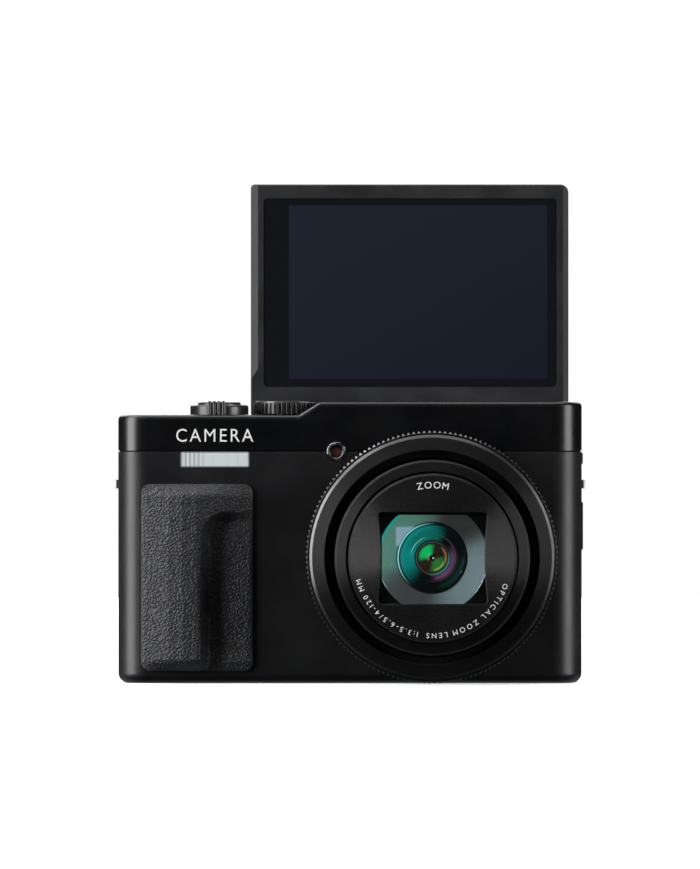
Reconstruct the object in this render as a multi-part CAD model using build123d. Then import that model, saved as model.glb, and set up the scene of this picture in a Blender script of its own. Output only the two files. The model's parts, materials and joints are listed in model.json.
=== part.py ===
from build123d import *
from math import cos, radians, sin, sqrt
import os

# Compact travel-zoom camera with a telescoping lens, a control ring round the lens, and a monitor
# that flips up over the top of the body. Millimetres. The origin is the mouth of the tripod socket
# on the base, +X runs towards the lens side, -Y is the front and +Z is up. The camera stands
# switched on: lens out at its wide end, lens barrier open and the monitor flipped up to face forwards.

# ---------------------------------------------------------------- driving dimensions
BODY_WIDTH = 112.0
HALF_WIDTH = BODY_WIDTH / 2
FRONT_Y = -14.0
REAR_Y = 14.5
DECK_Z = 64.7  # the low deck that carries the zoom lever
HUMP_Z = 67.9  # the raised roof over the lens and the viewfinder
WALL = 1.3
SEAM_Z = 56.0  # top cover above, front and rear covers below
SPLIT_Y = 4.0  # front cover ahead, rear cover behind
SEAM_GAP = 0.1  # half of the gap at a seam
FRONT_CORNER = 7.0
REAR_CORNER = 4.0
TOP_ROUND = 1.2
BASE_ROUND = 2.4
SLANT_X = (-12.4, -7.4)  # where the deck slopes up to the hump

LENS_X, LENS_Z = 19.7, 30.5
EXTEND = 9.0  # how far each barrel stands out of the one behind it at the wide end

AXIS_Y, AXIS_Z = 14.9, 60.3  # the monitor's hinge, along X
LIFT = 3.0  # how far the monitor slides up its hinge plate once flipped
MON_X = (-24.2, 53.3)
MON_Z = (2.6, 59.0)  # the monitor's edges while it lies closed in its recess
MON_BACK_Y, MON_SPLIT_Y, MON_FACE_Y = 7.9, 12.6, 14.0
RECESS_X = (-24.7, 53.8)
RECESS_Z = (1.9, 59.3)
RECESS_Y = 6.2
GLASS_X = (-21.1, 50.4)
GLASS_Z = (6.0, 52.0)
SLOT_X = (-6.0, 14.0)  # the two pins the monitor slides on
SLOT_Z = 47.0
HINGE_POCKET_X = (-17.5, 25.5)
HINGE_POCKET_Z = 61.6

LEVER_X, LEVER_Y = -31.6, -4.5
MODE_X, MODE_Y, MODE_R = -15.1, 0.5, 8.35
POWER_X, POWER_Y = -29.0, 9.0
RECORD_X, RECORD_Y = -44.5, -6.0
REAR_DIAL_X, REAR_DIAL_Y, REAR_DIAL_R = -45.0, 7.0, 8.5
LAMP_X, LAMP_Z = -3.3, 55.9
FLASH_X = (-41.0, -24.2)
FLASH_Z = (52.0, 55.9)
GRIP_X = (-50.4, -23.5)
GRIP_Z = (3.0, 48.1)
LUG_Y, LUG_Z = -2.2, 48.0
LUG_LEG_OFFSET = 3.15
PORT_Y = (-6.0, 3.3)
PORT_Z = (32.2, 43.6)
DIOPTER_X, DIOPTER_Y, DIOPTER_R = 51.8, -2.0, 4.6
DIOPTER_Z = (52.9, 55.5)
FINDER_X = (31.0, 50.0)
FINDER_Z = (59.7, 67.0)
PAD_X, PAD_Z, PAD_R = -40.0, 25.5, 9.2
DOOR_X = (-52.0, -27.9)  # free edge and hinge line of the battery door
DOOR_Y = (-10.6, 3.4)
BASE_X = (-26.9, 50.5)
BASE_Y = (-10.8, 3.4)

PINION_TEETH, RING_TEETH, GEAR_MODULE = 14, 140, 0.4
PINION_ANGLE = 150.0  # where the pinion meets the drive ring, seen from the front, from +X

os.makedirs("parts", exist_ok=True)


# ---------------------------------------------------------------- helpers
def block(x, y, z):
    """A box between two values along each axis."""
    size = (x[1] - x[0], y[1] - y[0], z[1] - z[0])
    middle = ((x[0] + x[1]) / 2, (y[0] + y[1]) / 2, (z[0] + z[1]) / 2)
    return Pos(*middle) * Box(*size)


def rod_x(radius, x, y, z):
    """A cylinder along X between two values of x."""
    return Pos((x[0] + x[1]) / 2, y, z) * Rot(0, 90, 0) * Cylinder(radius, x[1] - x[0])


def rod_y(radius, y, x=LENS_X, z=LENS_Z):
    """A cylinder along Y between two values of y, on the lens axis unless told otherwise."""
    return Pos(x, (y[0] + y[1]) / 2, z) * Rot(90, 0, 0) * Cylinder(radius, y[1] - y[0])


def rod_z(radius, z, x, y):
    """A cylinder along Z between two values of z."""
    return Pos(x, y, (z[0] + z[1]) / 2) * Cylinder(radius, z[1] - z[0])


def y_prism(sketch, y):
    """A sketch drawn in X and Z, made solid between two values of y."""
    return extrude(Plane.XZ.offset(-y[1]) * sketch, amount=y[1] - y[0])


def z_prism(sketch, z):
    """A sketch drawn in X and Y, made solid between two values of z."""
    return extrude(Pos(0, 0, z[0]) * sketch, amount=z[1] - z[0])


def turned(points):
    """A ring turned about the lens axis from a closed outline of (radius, y) points."""
    outline = make_face(Polyline(*points, close=True))
    return Pos(LENS_X, 0, LENS_Z) * revolve(outline, Axis.Y)


def widened(span, margin):
    """A pair of limits moved apart by margin at each end."""
    return span[0] - margin, span[1] + margin


def rounded_window(x, z, radius):
    """A rounded rectangle in X and Z."""
    middle = Pos((x[0] + x[1]) / 2, (z[0] + z[1]) / 2)
    return middle * RectangleRounded(x[1] - x[0], z[1] - z[0], radius)


def dome(edge_radius, pole_y, edge_y):
    """A spherical profile from the lens axis at pole_y out to edge_radius at edge_y."""
    rise = edge_y - pole_y
    curve = (edge_radius**2 + rise**2) / (2 * abs(rise))
    half = edge_radius / 2
    sag = curve - sqrt(curve**2 - half**2)
    return ThreePointArc((0, pole_y), (half, pole_y + (sag if rise > 0 else -sag)), (edge_radius, edge_y))


def toothed_face(count, tip, root, tip_share, root_share, phase=0.0):
    """A toothed disc; each tooth takes tip_share of its pitch at the tip and root_share at the root."""
    pitch = 360.0 / count
    points = []
    for i in range(count):
        centre = phase + i * pitch
        for radius, offset in (
            (root, -root_share / 2),
            (tip, -tip_share / 2),
            (tip, tip_share / 2),
            (root, root_share / 2),
        ):
            angle = radians(centre + offset * pitch)
            points.append((radius * cos(angle), radius * sin(angle)))
    return make_face(Polyline(*points, close=True))


def save(shape, name):
    solids = shape.solids()
    export_step(solids[0] if len(solids) == 1 else Compound(children=list(solids)), f"parts/{name}.step")
    print(name, len(solids))


def flipped(shape):
    """Carries a piece of the monitor from its closed place to its flipped-up place."""
    hinge = Axis((0, AXIS_Y, AXIS_Z), (1, 0, 0))
    return shape.rotate(hinge, 180)


def flipped_and_lifted(shape):
    return Pos(0, 0, LIFT) * flipped(shape)


# ---------------------------------------------------------------- body shell
def plan(inset):
    """The body's outline seen from above, drawn in by inset."""
    middle = Pos(0, (FRONT_Y + REAR_Y) / 2)
    face = middle * Rectangle(BODY_WIDTH - 2 * inset, REAR_Y - FRONT_Y - 2 * inset)
    face = fillet(face.vertices().sort_by(Axis.Y)[:2], FRONT_CORNER - inset)
    return fillet(face.vertices().sort_by(Axis.Y)[-2:], REAR_CORNER - inset)


def outer_block():
    """The camera body as a plain block with its low deck, slope and hump, and rounded edges."""
    reach = HALF_WIDTH + 5
    side = Polyline(
        (-reach, -1),
        (-reach, DECK_Z),
        (SLANT_X[0], DECK_Z),
        (SLANT_X[1], HUMP_Z),
        (reach, HUMP_Z),
        (reach, -1),
        close=True,
    )
    face = make_face(side)
    corners = [v for v in face.vertices() if abs(v.X) < 20]
    face = fillet(corners, 1.4)
    body = z_prism(plan(0), (0, HUMP_Z)) & y_prism(face, (-40, 40))
    body = fillet(body.edges().group_by(Axis.Z)[0], BASE_ROUND)
    rim = [
        e
        for e in body.edges()
        if e.center().Z > DECK_Z - 0.1
        and (abs(e.center().X) > HALF_WIDTH - 8 or abs(e.center().Y) > 12)
    ]
    return fillet(rim, TOP_ROUND)


def cavity():
    """The room inside the shell, stepped down beside the mode dial and in front of the recess."""
    step_x = MODE_X + MODE_R + 2.2
    low = z_prism(plan(WALL), (WALL, DECK_Z - WALL))
    high = z_prism(plan(WALL), (WALL, HUMP_Z - WALL)) & block((step_x, 60), (-30, 30), (0, 80))
    room = low + high
    room -= block(
        (RECESS_X[0] - WALL, RECESS_X[1] + 5),
        (RECESS_Y - 1.2, 30),
        (-1, RECESS_Z[1] + 1.2),
    )
    room -= block(
        (HINGE_POCKET_X[0] - WALL, HINGE_POCKET_X[1] + WALL),
        (RECESS_Y - 1.2, 30),
        (-1, HINGE_POCKET_Z + 1.2),
    )
    return room


def seam_lip():
    """A tongue under the top cover that laps inside the lower covers all round the seam."""
    room = plan(WALL) - Pos(
        (RECESS_X[0] - WALL + 60) / 2, (RECESS_Y - 1.2 + 30) / 2
    ) * Rectangle(60 - RECESS_X[0] + WALL, 30 - RECESS_Y + 1.2)
    inner = offset(room, -0.66, kind=Kind.INTERSECTION)
    seam = SEAM_Z + SEAM_GAP
    lip = z_prism(offset(room, -0.06, kind=Kind.INTERSECTION) - inner, (seam - 1.2, seam))
    lip += z_prism(offset(room, 0.2, kind=Kind.INTERSECTION) - inner, (seam, seam + 0.8))
    lip -= block(widened(FLASH_X, 0.3), (-20, -5), (50, seam))
    lip -= rod_y(2.7, (-20, -5), LAMP_X, LAMP_Z)
    lip -= rod_y(28.8, (-20, -5))
    lip -= block((50, 60), widened((DIOPTER_Y, DIOPTER_Y), 4.9), (50, seam + 0.2))
    return lip


def screw_places():
    """Where the case screws sit: their head's outer face and the way the head faces."""
    base = [(x, y, 0.0) for x in (-21.5, 45.5) for y in (-8.0, 0.8)]
    sides = [(HALF_WIDTH, -1.0, 10.0), (HALF_WIDTH, -1.0, 24.0)]
    sides += [(-HALF_WIDTH, -1.0, 10.0), (-HALF_WIDTH, -1.0, 30.0)]
    return base, sides


def screw_holes():
    """A counterbore and a clearance hole for each case screw."""
    base, sides = screw_places()
    holes = []
    for x, y, z in base:
        holes += [rod_z(1.5, (z - 1, z + 0.7), x, y), rod_z(0.85, (z, z + 3), x, y)]
    for x, y, z in sides:
        inward = -1 if x > 0 else 1
        head = sorted((x - inward, x + inward * 0.7))
        shank = sorted((x, x + inward * 3))
        holes += [rod_x(1.5, head, y, z), rod_x(0.85, shank, y, z)]
    return holes


def case_screws():
    """Eight identical cross-recess screws."""
    base, sides = screw_places()
    screw = Pos(0, 0, 0.4) * Cylinder(1.4, 0.5) + Pos(0, 0, 1.6) * Cylinder(0.75, 2.2)
    screw -= Pos(0, 0, 0.2) * Box(1.7, 0.36, 0.5) + Pos(0, 0, 0.2) * Box(0.36, 1.7, 0.5)
    places = [Pos(*p) * screw for p in base]
    places += [Pos(*p) * Rot(0, -90 if p[0] > 0 else 90, 0) * screw for p in sides]
    return Compound(children=[s.solid() for s in places])


def rear_buttons():
    """Name: (x, z, radius) of each round button on the back."""
    return {
        "viewfinder_button": (28.75, 64.5, 1.6),
        "function_button": (-30.5, 47.0, 2.2),
        "playback_button": (-48.0, 9.5, 2.3),
        "delete_button": (-32.0, 9.5, 2.3),
    }


def openings():
    """Everything that is cut through the shell."""
    holes = [rod_y(26.8, (-20, -5))]
    holes.append(rod_y(2.4, (-20, -11), LAMP_X, LAMP_Z))
    holes.append(y_prism(rounded_window(FLASH_X, (FLASH_Z[0], FLASH_Z[1] + 0.3), 0.6), (-20, -11)))
    grip_seat = rounded_window(widened(GRIP_X, 0.1), widened(GRIP_Z, 0.1), 2.0)
    holes.append(y_prism(grip_seat, (-20, FRONT_Y + 0.5)))
    holes.append(rod_z(6.4, (60, 66), LEVER_X, LEVER_Y))
    holes.append(rod_z(4.7, (60, 66), MODE_X, MODE_Y))
    holes.append(rod_z(3.1, (60, 66), POWER_X, POWER_Y))
    holes.append(rod_z(2.8, (60, 66), RECORD_X, RECORD_Y))
    holes.append(block((REAR_DIAL_X - 6.2, REAR_DIAL_X + 6.2), (12, 20), (59.3, 63.2)))
    for x, z, radius in rear_buttons().values():
        holes.append(rod_y(radius + 0.15, (12, 16), x, z))
    holes.append(rod_y(PAD_R + 0.2, (12, 16), PAD_X, PAD_Z))
    finder = rounded_window(widened(FINDER_X, 0.05), widened(FINDER_Z, 0.05), 1.5)
    holes.append(y_prism(finder, (10, 16)))
    holes.append(block((53, 57), PORT_Y, widened(PORT_Z, 0.1)))
    holes.append(block((53, 57), (DIOPTER_Y - 3.9, DIOPTER_Y + 3.9), (DIOPTER_Z[0] - 0.2, SEAM_Z + 0.2)))
    for side in (-1, 1):
        dish = Pos(side * (HALF_WIDTH + 3.2), LUG_Y, LUG_Z) * Rot(90, 0, 0) * Cylinder(4.4, 5.2)
        holes.append(dish)
        for end in (-1, 1):
            x = sorted((side * 52, side * 57))
            middle = LUG_Y + end * LUG_LEG_OFFSET
            holes.append(block(x, (middle - 0.55, middle + 0.55), (LUG_Z - 1.15, LUG_Z + 1.15)))
    holes.append(door_plate(0.1, (-1, 2)))
    for x in (0.0, 16.0):
        for i in range(3):
            holes.append(rod_z(0.4, (65, 70), x + 1.5 * i, -2.0))
            holes.append(rod_z(0.4, (65, 70), x + 0.75 + 1.5 * i, -0.7))
    return holes + screw_holes()


def knuckle_spans(moving):
    """The hinge's knuckles along X: the plate's own, or the body's."""
    return [(-11.8, -0.2), (8.2, 19.8)] if moving else [(-16.0, -12.0), (0.0, 8.0), (20.0, 24.0)]


def covers():
    """The four outer shells, cut from one block so that they meet along their seams."""
    shell = outer_block()
    shell -= block(RECESS_X, (RECESS_Y, 30), RECESS_Z)
    shell -= block(HINGE_POCKET_X, (RECESS_Y, 30), (RECESS_Z[1] - 1, HINGE_POCKET_Z))
    shell -= rod_z(MODE_R + 0.55, (DECK_Z, 80), MODE_X, MODE_Y)
    shell += rod_y(28.6, (FRONT_Y - 1.0, FRONT_Y + 0.5))
    shell -= cavity()
    for hole in openings():
        shell -= hole
    shell += rod_z(1.5, (58.6, DECK_Z - WALL + 0.1), REAR_DIAL_X, REAR_DIAL_Y)
    for x in knuckle_spans(moving=False):
        shell += rod_x(1.0, x, AXIS_Y, AXIS_Z)
        shell += block(x, (AXIS_Y - 1.0, AXIS_Y - 0.4), (AXIS_Z, HINGE_POCKET_Z + 0.3))
    shell -= rod_x(0.53, (-17.4, 25.4), AXIS_Y, AXIS_Z)

    base_zone = block(BASE_X, BASE_Y, (-1, WALL))
    base_gap = block(widened(BASE_X, 0.1), widened(BASE_Y, 0.1), (-1, WALL))
    shell -= rod_z(4.7, (-1, 3), 0, 0)
    above = block((-80, 80), (-60, 60), (SEAM_Z + SEAM_GAP, 100))
    below = block((-80, 80), (-60, 60), (-5, SEAM_Z - SEAM_GAP)) - base_gap
    ahead = block((-80, 80), (-60, SPLIT_Y - SEAM_GAP / 2), (-5, 100))
    behind = block((-80, 80), (SPLIT_Y + SEAM_GAP / 2, 60), (-5, 100))
    top = shell & above
    top += seam_lip()
    top += rod_z(0.95, (DIOPTER_Z[0] + 0.2, HUMP_Z - WALL + 0.1), DIOPTER_X, DIOPTER_Y)
    lower = shell & below
    base = shell & base_zone
    return top, lower & ahead, lower & behind, base


def soften_seam(cover, z):
    """Breaks the outer edge of a cover along its horizontal seam."""
    reach = HALF_WIDTH - 7.5
    edges = [
        e
        for e in cover.edges()
        if abs(e.center().Z - z) < 0.01
        and e.length > 3
        and (e.center().Y < FRONT_Y + 0.1 or abs(e.center().X) > HALF_WIDTH - 0.1)
        and (e.center().Y < FRONT_Y + 0.1 or abs(e.center().X) > reach)
    ]
    try:
        return chamfer(edges, 0.16)
    except ValueError:
        return cover


# ---------------------------------------------------------------- grip and thumb rest
def grip_pad():
    """The moulded front grip: a long swelling with a finger scoop cut in its inner side."""
    left, right = GRIP_X
    seat = FRONT_Y + 0.5
    crown = Spline(
        (left, FRONT_Y - 0.4),
        (left + 4.5, FRONT_Y - 2.8),
        (left + 9.5, FRONT_Y - 4.4),
        (left + 13.0, FRONT_Y - 4.6),
        (left + 18.5, FRONT_Y - 3.6),
        (left + 23.5, FRONT_Y - 1.9),
        (right, FRONT_Y - 0.9),
    )
    rest = Polyline((right, FRONT_Y - 0.9), (right, seat), (left, seat), (left, FRONT_Y - 0.4))
    outline = make_face([crown, rest])
    pad = z_prism(outline, GRIP_Z)
    pad = pad & y_prism(rounded_window(GRIP_X, GRIP_Z, 1.9), (-30, 0))
    low, high = GRIP_Z
    ramps = (
        ((-30, 60), (FRONT_Y - 0.6, high), (FRONT_Y - 5.2, high - 3.4), (-30, high - 12)),
        ((-30, -10), (FRONT_Y - 0.6, low), (FRONT_Y - 5.2, low + 2.2), (-30, low + 9)),
    )
    for ramp in ramps:
        pad -= extrude(Plane.YZ * make_face(Polyline(*ramp, close=True)), amount=80, both=True)
    floor = FRONT_Y - 0.75
    scoop_x, scoop_z = (left + 15.3, right + 14), (-12.0, 40.0)
    scoop = rounded_window(scoop_x, scoop_z, 8.0)
    cutter = extrude(Plane.XZ.offset(-floor) * scoop, amount=7, taper=-28)
    return pad - cutter


def thumb_pad():
    """The rubber thumb rest on the back, with shallow grooves."""
    pad = y_prism(rounded_window((-52.0, -36.5), (40.0, 55.0), 3.0), (REAR_Y, REAR_Y + 1.3))
    pad = fillet(pad.edges().group_by(Axis.Y)[-1], 0.7)
    for i in range(6):
        x = -50.0 + 2.3 * i
        pad -= block((x - 0.3, x + 0.3), (REAR_Y + 1.0, REAR_Y + 2), (42.0, 53.0))
    return pad


# ---------------------------------------------------------------- flash and lamp
def flash_window():
    x, z = FLASH_X, FLASH_Z
    outline = rounded_window(widened(x, -0.08), (z[0] + 0.08, z[1]), 0.5)
    return y_prism(outline, (FRONT_Y, -12.4))


def flash_reflector():
    """A bright trough behind the flash window."""
    x = (FLASH_X[0] + 0.6, FLASH_X[1] - 0.6)
    outer = block(x, (-12.3, -8.0), (FLASH_Z[0] + 0.1, FLASH_Z[1] - 0.2))
    inner = Polyline((-13, FLASH_Z[0] + 0.4), (-13, FLASH_Z[1] - 0.5), (-9.2, 54.9), (-9.2, 53.0), close=True)
    bowl = extrude(Plane.YZ.offset(x[0] + 0.4) * make_face(inner), amount=x[1] - x[0] - 0.8)
    return outer - bowl


def assist_lamp_bezel():
    bezel = rod_y(2.3, (FRONT_Y - 0.35, -12.0), LAMP_X, LAMP_Z)
    bezel = chamfer(bezel.edges().group_by(Axis.Y)[0], 0.25)
    bezel -= rod_y(1.5, (-20, -8), LAMP_X, LAMP_Z)
    return chamfer(bezel.edges().group_by(Axis.Y)[0], 0.2)


def assist_lamp():
    lamp = rod_y(1.45, (FRONT_Y + 0.5, -10.8), LAMP_X, LAMP_Z)
    return fillet(lamp.edges().group_by(Axis.Y)[0], 0.5)


# ---------------------------------------------------------------- lens unit
def control_ring():
    """The knurled ring round the lens: a smooth front face, a bright bevel, a groove and the knurl."""
    core = turned(
        [
            (27.0, -15.3),
            (29.1, -15.3),
            (29.45, -15.7),
            (29.45, -22.9),
            (28.75, -23.5),
            (25.9, -24.25),
            (25.6, -24.0),
            (25.6, -22.2),
            (27.0, -22.2),
        ]
    )
    band = toothed_face(150, 30.4, 29.86, 0.17, 0.74) - Circle(29.75)
    knurl = Pos(LENS_X, 0, LENS_Z) * y_prism(band, (-22.5, -16.0))
    knurl -= turned([(29.85, -22.6), (30.6, -22.6), (30.6, -21.75)])
    web = turned([(29.3, -16.0), (29.85, -16.0), (29.85, -20.6), (29.3, -20.6)])
    return core + web + knurl


def lens_housing():
    """The fixed tube that the barrels slide in, closed behind round the sensor window."""
    tube = turned(
        [(24.1, -21.6), (26.2, -21.6), (26.4, -21.4), (26.4, 0.3), (0, 0.3), (0, -1.2), (24.1, -1.2)]
    )
    tube -= block((LENS_X - 4.3, LENS_X + 4.3), (-3, 3), (LENS_Z - 3.4, LENS_Z + 3.4))
    for angle in (45, 135, 225, 315):
        x = LENS_X + 27.4 * cos(radians(angle))
        z = LENS_Z + 27.4 * sin(radians(angle))
        tube += rod_y(2.0, (-2.6, 0.3), x, z)
        tube -= rod_y(0.8, (-3, 1), x, z)
    return tube


def outer_barrel():
    y = -24.4 - EXTEND
    return turned(
        [
            (20.5, y + 0.25),
            (20.75, y),
            (22.9, y + 0.2),
            (23.4, y + 0.7),
            (23.4, y + 22.4),
            (21.9, y + 22.4),
            (21.9, y + 1.5),
            (20.5, y + 1.5),
        ]
    )


def inner_barrel():
    """The front barrel: a tube with a baffle that holds the glass, and a rear flange that guides it."""
    y = -23.9 - 2 * EXTEND
    return turned(
        [
            (14.3, y),
            (20.15, y),
            (20.15, y + 18.7),
            (21.7, y + 18.7),
            (21.7, y + 20.2),
            (18.7, y + 20.2),
            (18.7, y + 4.9),
            (15.0, y + 4.9),
            (9.8, y + 9.4),
            (9.8, y + 13.4),
            (8.4, y + 13.4),
            (8.4, y + 8.4),
            (13.6, y + 3.9),
            (13.6, y + 3.3),
            (14.3, y + 3.3),
        ]
    )


def barrel_window():
    """The front opening: flat above and below, with sides that bow inwards."""
    half_w, waist, half_h = 13.1, 12.35, 10.85
    corners = [(half_w, half_h), (-half_w, half_h), (-half_w, -half_h), (half_w, -half_h)]
    edges = [
        Line(corners[0], corners[1]),
        ThreePointArc(corners[1], (-waist, 0), corners[2]),
        Line(corners[2], corners[3]),
        ThreePointArc(corners[3], (waist, 0), corners[0]),
    ]
    face = make_face(edges)
    return fillet(face.vertices(), 0.9)


def name_ring():
    """The slightly domed front cap of the inner barrel, with the window that the barrier closes."""
    y = -26.2 - 2 * EXTEND
    face = dome(19.7, y, y + 0.9)
    rim = Polyline(
        (19.7, y + 0.9),
        (20.15, y + 1.3),
        (20.15, y + 2.3),
        (19.75, y + 2.3),
        (19.75, y + 1.2),
        (0, y + 1.2),
    )
    outline = make_face([face, rim, Line((0, y + 1.2), (0, y))])
    cap = Pos(LENS_X, 0, LENS_Z) * revolve(outline, Axis.Y)
    cap -= y_prism(Pos(LENS_X, LENS_Z) * barrel_window(), (y - 2, y + 4))
    front_rim = cap.edges().filter_by(lambda edge: edge.center().Y < y + 0.95 and edge.length < 30)
    return chamfer(front_rim, 0.22)


def front_element():
    """The domed front glass."""
    y = -23.9 - 2 * EXTEND
    front = dome(13.6, y + 0.1, y + 2.6)
    edge = Polyline((13.6, y + 2.6), (13.6, y + 3.2), (13.0, y + 3.6))
    back = dome(13.0, y + 4.9, y + 3.6)
    outline = make_face([front, edge, back, Line((0, y + 4.9), (0, y + 0.1))])
    return Pos(LENS_X, 0, LENS_Z) * revolve(outline, Axis.Y)


def rear_lens_group():
    y = -15.4 - 2 * EXTEND
    front = dome(8.3, y - 0.2, y + 1.4)
    outline = make_face([front, Polyline((8.3, y + 1.4), (8.3, y + 4.6), (0, y + 4.6), (0, y - 0.2))])
    return Pos(LENS_X, 0, LENS_Z) * revolve(outline, Axis.Y)


def barrier_leaf(side, layer):
    """One sliding leaf of the lens barrier, drawn back above (side 1) or below (side -1) the window."""
    inner, arc_radius = 11.0, 19.25
    reach = sqrt(arc_radius**2 - inner**2) - 0.2
    shoulder = inner + 0.25
    straight = Polyline((-reach, shoulder), (-reach, inner), (reach, inner), (reach, shoulder))
    top = ThreePointArc((reach, shoulder), (0, arc_radius), (-reach, shoulder))
    face = make_face([straight, top])
    if side < 0:
        face = mirror(face, Plane.XZ)
    y = -24.92 - 2 * EXTEND + 0.3 * layer
    return y_prism(Pos(LENS_X, LENS_Z) * face, (y, y + 0.25))


def drive_ring():
    """The toothed ring round the lens housing that draws the barrels in and out."""
    pitch_radius = RING_TEETH * GEAR_MODULE / 2
    face = toothed_face(RING_TEETH, pitch_radius + 0.35, pitch_radius - 0.45, 0.2, 0.6, PINION_ANGLE)
    return Pos(LENS_X, 0, LENS_Z) * y_prism(face - Circle(26.6), (-12.2, -9.6))


def pinion_place():
    distance = (RING_TEETH + PINION_TEETH) * GEAR_MODULE / 2
    angle = radians(PINION_ANGLE)
    return LENS_X + distance * cos(angle), LENS_Z + distance * sin(angle)


def drive_pinion():
    x, z = pinion_place()
    pitch_radius = PINION_TEETH * GEAR_MODULE / 2
    phase = PINION_ANGLE + 180 + 180.0 / PINION_TEETH
    face = toothed_face(PINION_TEETH, pitch_radius + 0.35, pitch_radius - 0.45, 0.2, 0.6, phase)
    return Pos(x, 0, z) * y_prism(face, (-12.3, -9.4)) + rod_y(0.6, (-9.5, -6.0), x, z)


def zoom_motor():
    x, z = pinion_place()
    return rod_y(3.9, (-9.1, 0.0), x, z) - rod_y(0.65, (-12, -5.5), x, z)


def image_sensor():
    """The sensor chip on its small board behind the lens."""
    chip = block((LENS_X - 4.0, LENS_X + 4.0), (-0.9, 0.8), (LENS_Z - 3.1, LENS_Z + 3.1))
    board = block((LENS_X - 11, LENS_X + 11), (0.5, 1.5), (LENS_Z - 9, LENS_Z + 9))
    return chip + board


# ---------------------------------------------------------------- inside the body
def main_board():
    board = block((-20.0, 50.9), (2.3, 3.3), (9.0, 52.0))
    for x, z, w, h in ((37.0, 26.0, 12, 12), (38.0, 43.0, 9, 7), (-12.0, 24.0, 9, 12), (-4.0, 48.0, 14, 5)):
        board += block((x - w / 2, x + w / 2), (1.5, 2.4), (z - h / 2, z + h / 2))
    return board


def chassis():
    """The pressed plate that the boards and the monitor's hinge are backed by."""
    plate = block((-22.0, 52.0), (3.8, 4.6), (8.0, 54.5))
    for x in (-14.0, 0.0, 36.0):
        plate -= rod_y(3.5, (3, 6), x, 18.0)
    return plate


def battery():
    pack = block((-52.2, -28.2), (-11.8, 1.4), (2.4, 43.5))
    return fillet(pack.edges().filter_by(Axis.Z), 2.0)


def memory_card():
    card = block((-52.2, -28.2), (2.0, 4.1), (2.4, 34.4))
    notch = Polyline((-32.2, 36), (-27, 36), (-27, 30.4), (-28.2, 30.4), close=True)
    return card - y_prism(make_face(notch), (0, 6))


def tripod_socket():
    """A threaded metal bush, flush with the base and flanged inside it."""
    flange = rod_z(6.8, (WALL + 0.05, 2.4), 0, 0) & block((-7, 7), (-7, BASE_Y[1] - 0.1), (0, 3))
    bush = rod_z(4.6, (0, 6.2), 0, 0) + flange
    bush -= rod_z(2.55, (-1, 5.2), 0, 0)
    mouth = Pos(0, 0, 0.15) * Cone(2.95, 2.55, 0.5)
    return bush - mouth


def strap_lugs():
    """A flat staple on each side, with its legs through the wall."""
    lugs = []
    z = (LUG_Z - 1.05, LUG_Z + 1.05)
    for side in (-1, 1):
        face_x = side * (HALF_WIDTH + 0.85)
        bar = block(sorted((face_x, face_x - side * 0.9)), (LUG_Y - 3.6, LUG_Y + 3.6), z)
        for end in (-1, 1):
            middle = LUG_Y + end * LUG_LEG_OFFSET
            bar += block(sorted((face_x, face_x - side * 4.0)), (middle - 0.45, middle + 0.45), z)
        outer = [e for e in bar.edges().filter_by(Axis.Z) if abs(e.center().X - face_x) < 0.01]
        lugs.append(fillet(outer, 0.4).solid())
    return Compound(children=lugs)


def socket(centre_z, height, mouth):
    """A side socket: a metal can with a mouth of mouth = (width, height)."""
    centre = (-2.0, -2.0)
    half_width = mouth[0] / 2
    level = (centre_z, centre_z)
    can = block((48.6, 54.6), widened(centre, half_width + 0.5), widened(level, height / 2))
    can -= block((49.6, 55), widened(centre, half_width), widened(level, mouth[1] / 2))
    return can + block((49.5, 53.6), widened(centre, half_width - 1.0), widened(level, 0.3))


# ---------------------------------------------------------------- viewfinder
def viewfinder_frame():
    x, z = FINDER_X, FINDER_Z
    frame = y_prism(rounded_window(x, z, 1.4), (12.0, 15.4))
    frame = fillet(frame.edges().group_by(Axis.Y)[-1], 0.5)
    return frame - y_prism(rounded_window((x[0] + 2.4, x[1] - 4.6), (z[0] + 1.1, z[1] - 1.1), 1.0), (10, 20))


def viewfinder_lens():
    x = (FINDER_X[0] + 2.45, FINDER_X[1] - 4.65)
    z = (FINDER_Z[0] + 1.15, FINDER_Z[1] - 1.15)
    return y_prism(rounded_window(x, z, 0.9), (12.4, 13.8))


# ---------------------------------------------------------------- controls
def zoom_lever():
    """The zoom ring round the shutter button, with a ribbed tab at the front."""
    base = DECK_Z + 0.06
    tab_x = LEVER_X - 0.6
    ring = rod_z(7.04, (base, 67.1), LEVER_X, LEVER_Y)
    ring = fillet(ring.edges().group_by(Axis.Z)[-1], 0.6)
    ring += rod_z(6.1, (61.6, base + 0.3), LEVER_X, LEVER_Y)
    tab = block(widened((tab_x, tab_x), 2.2), (LEVER_Y - 7.6, LEVER_Y - 5.7), (base, 67.85))
    ring += fillet(tab.edges().group_by(Axis.Z)[-1], 0.35)
    for i in range(4):
        x = tab_x - 1.65 + 1.1 * i
        ring += rod_z(0.36, (base, 68.05), x, LEVER_Y - 7.6)
        ring += Pos(x, LEVER_Y - 6.7, 67.8) * Rot(90, 0, 0) * Cylinder(0.28, 1.8)
    return ring - rod_z(5.5, (60, 70), LEVER_X, LEVER_Y)


def shutter_button():
    cap = rod_z(5.2, (64.6, 67.9), LEVER_X, LEVER_Y)
    cap = fillet(cap.edges().group_by(Axis.Z)[-1], 0.7)
    dish = Pos(LEVER_X, LEVER_Y, 67.9 + 39.6) * Sphere(40)
    return (cap - dish) + rod_z(1.8, (60.5, 64.7), LEVER_X, LEVER_Y)


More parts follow.
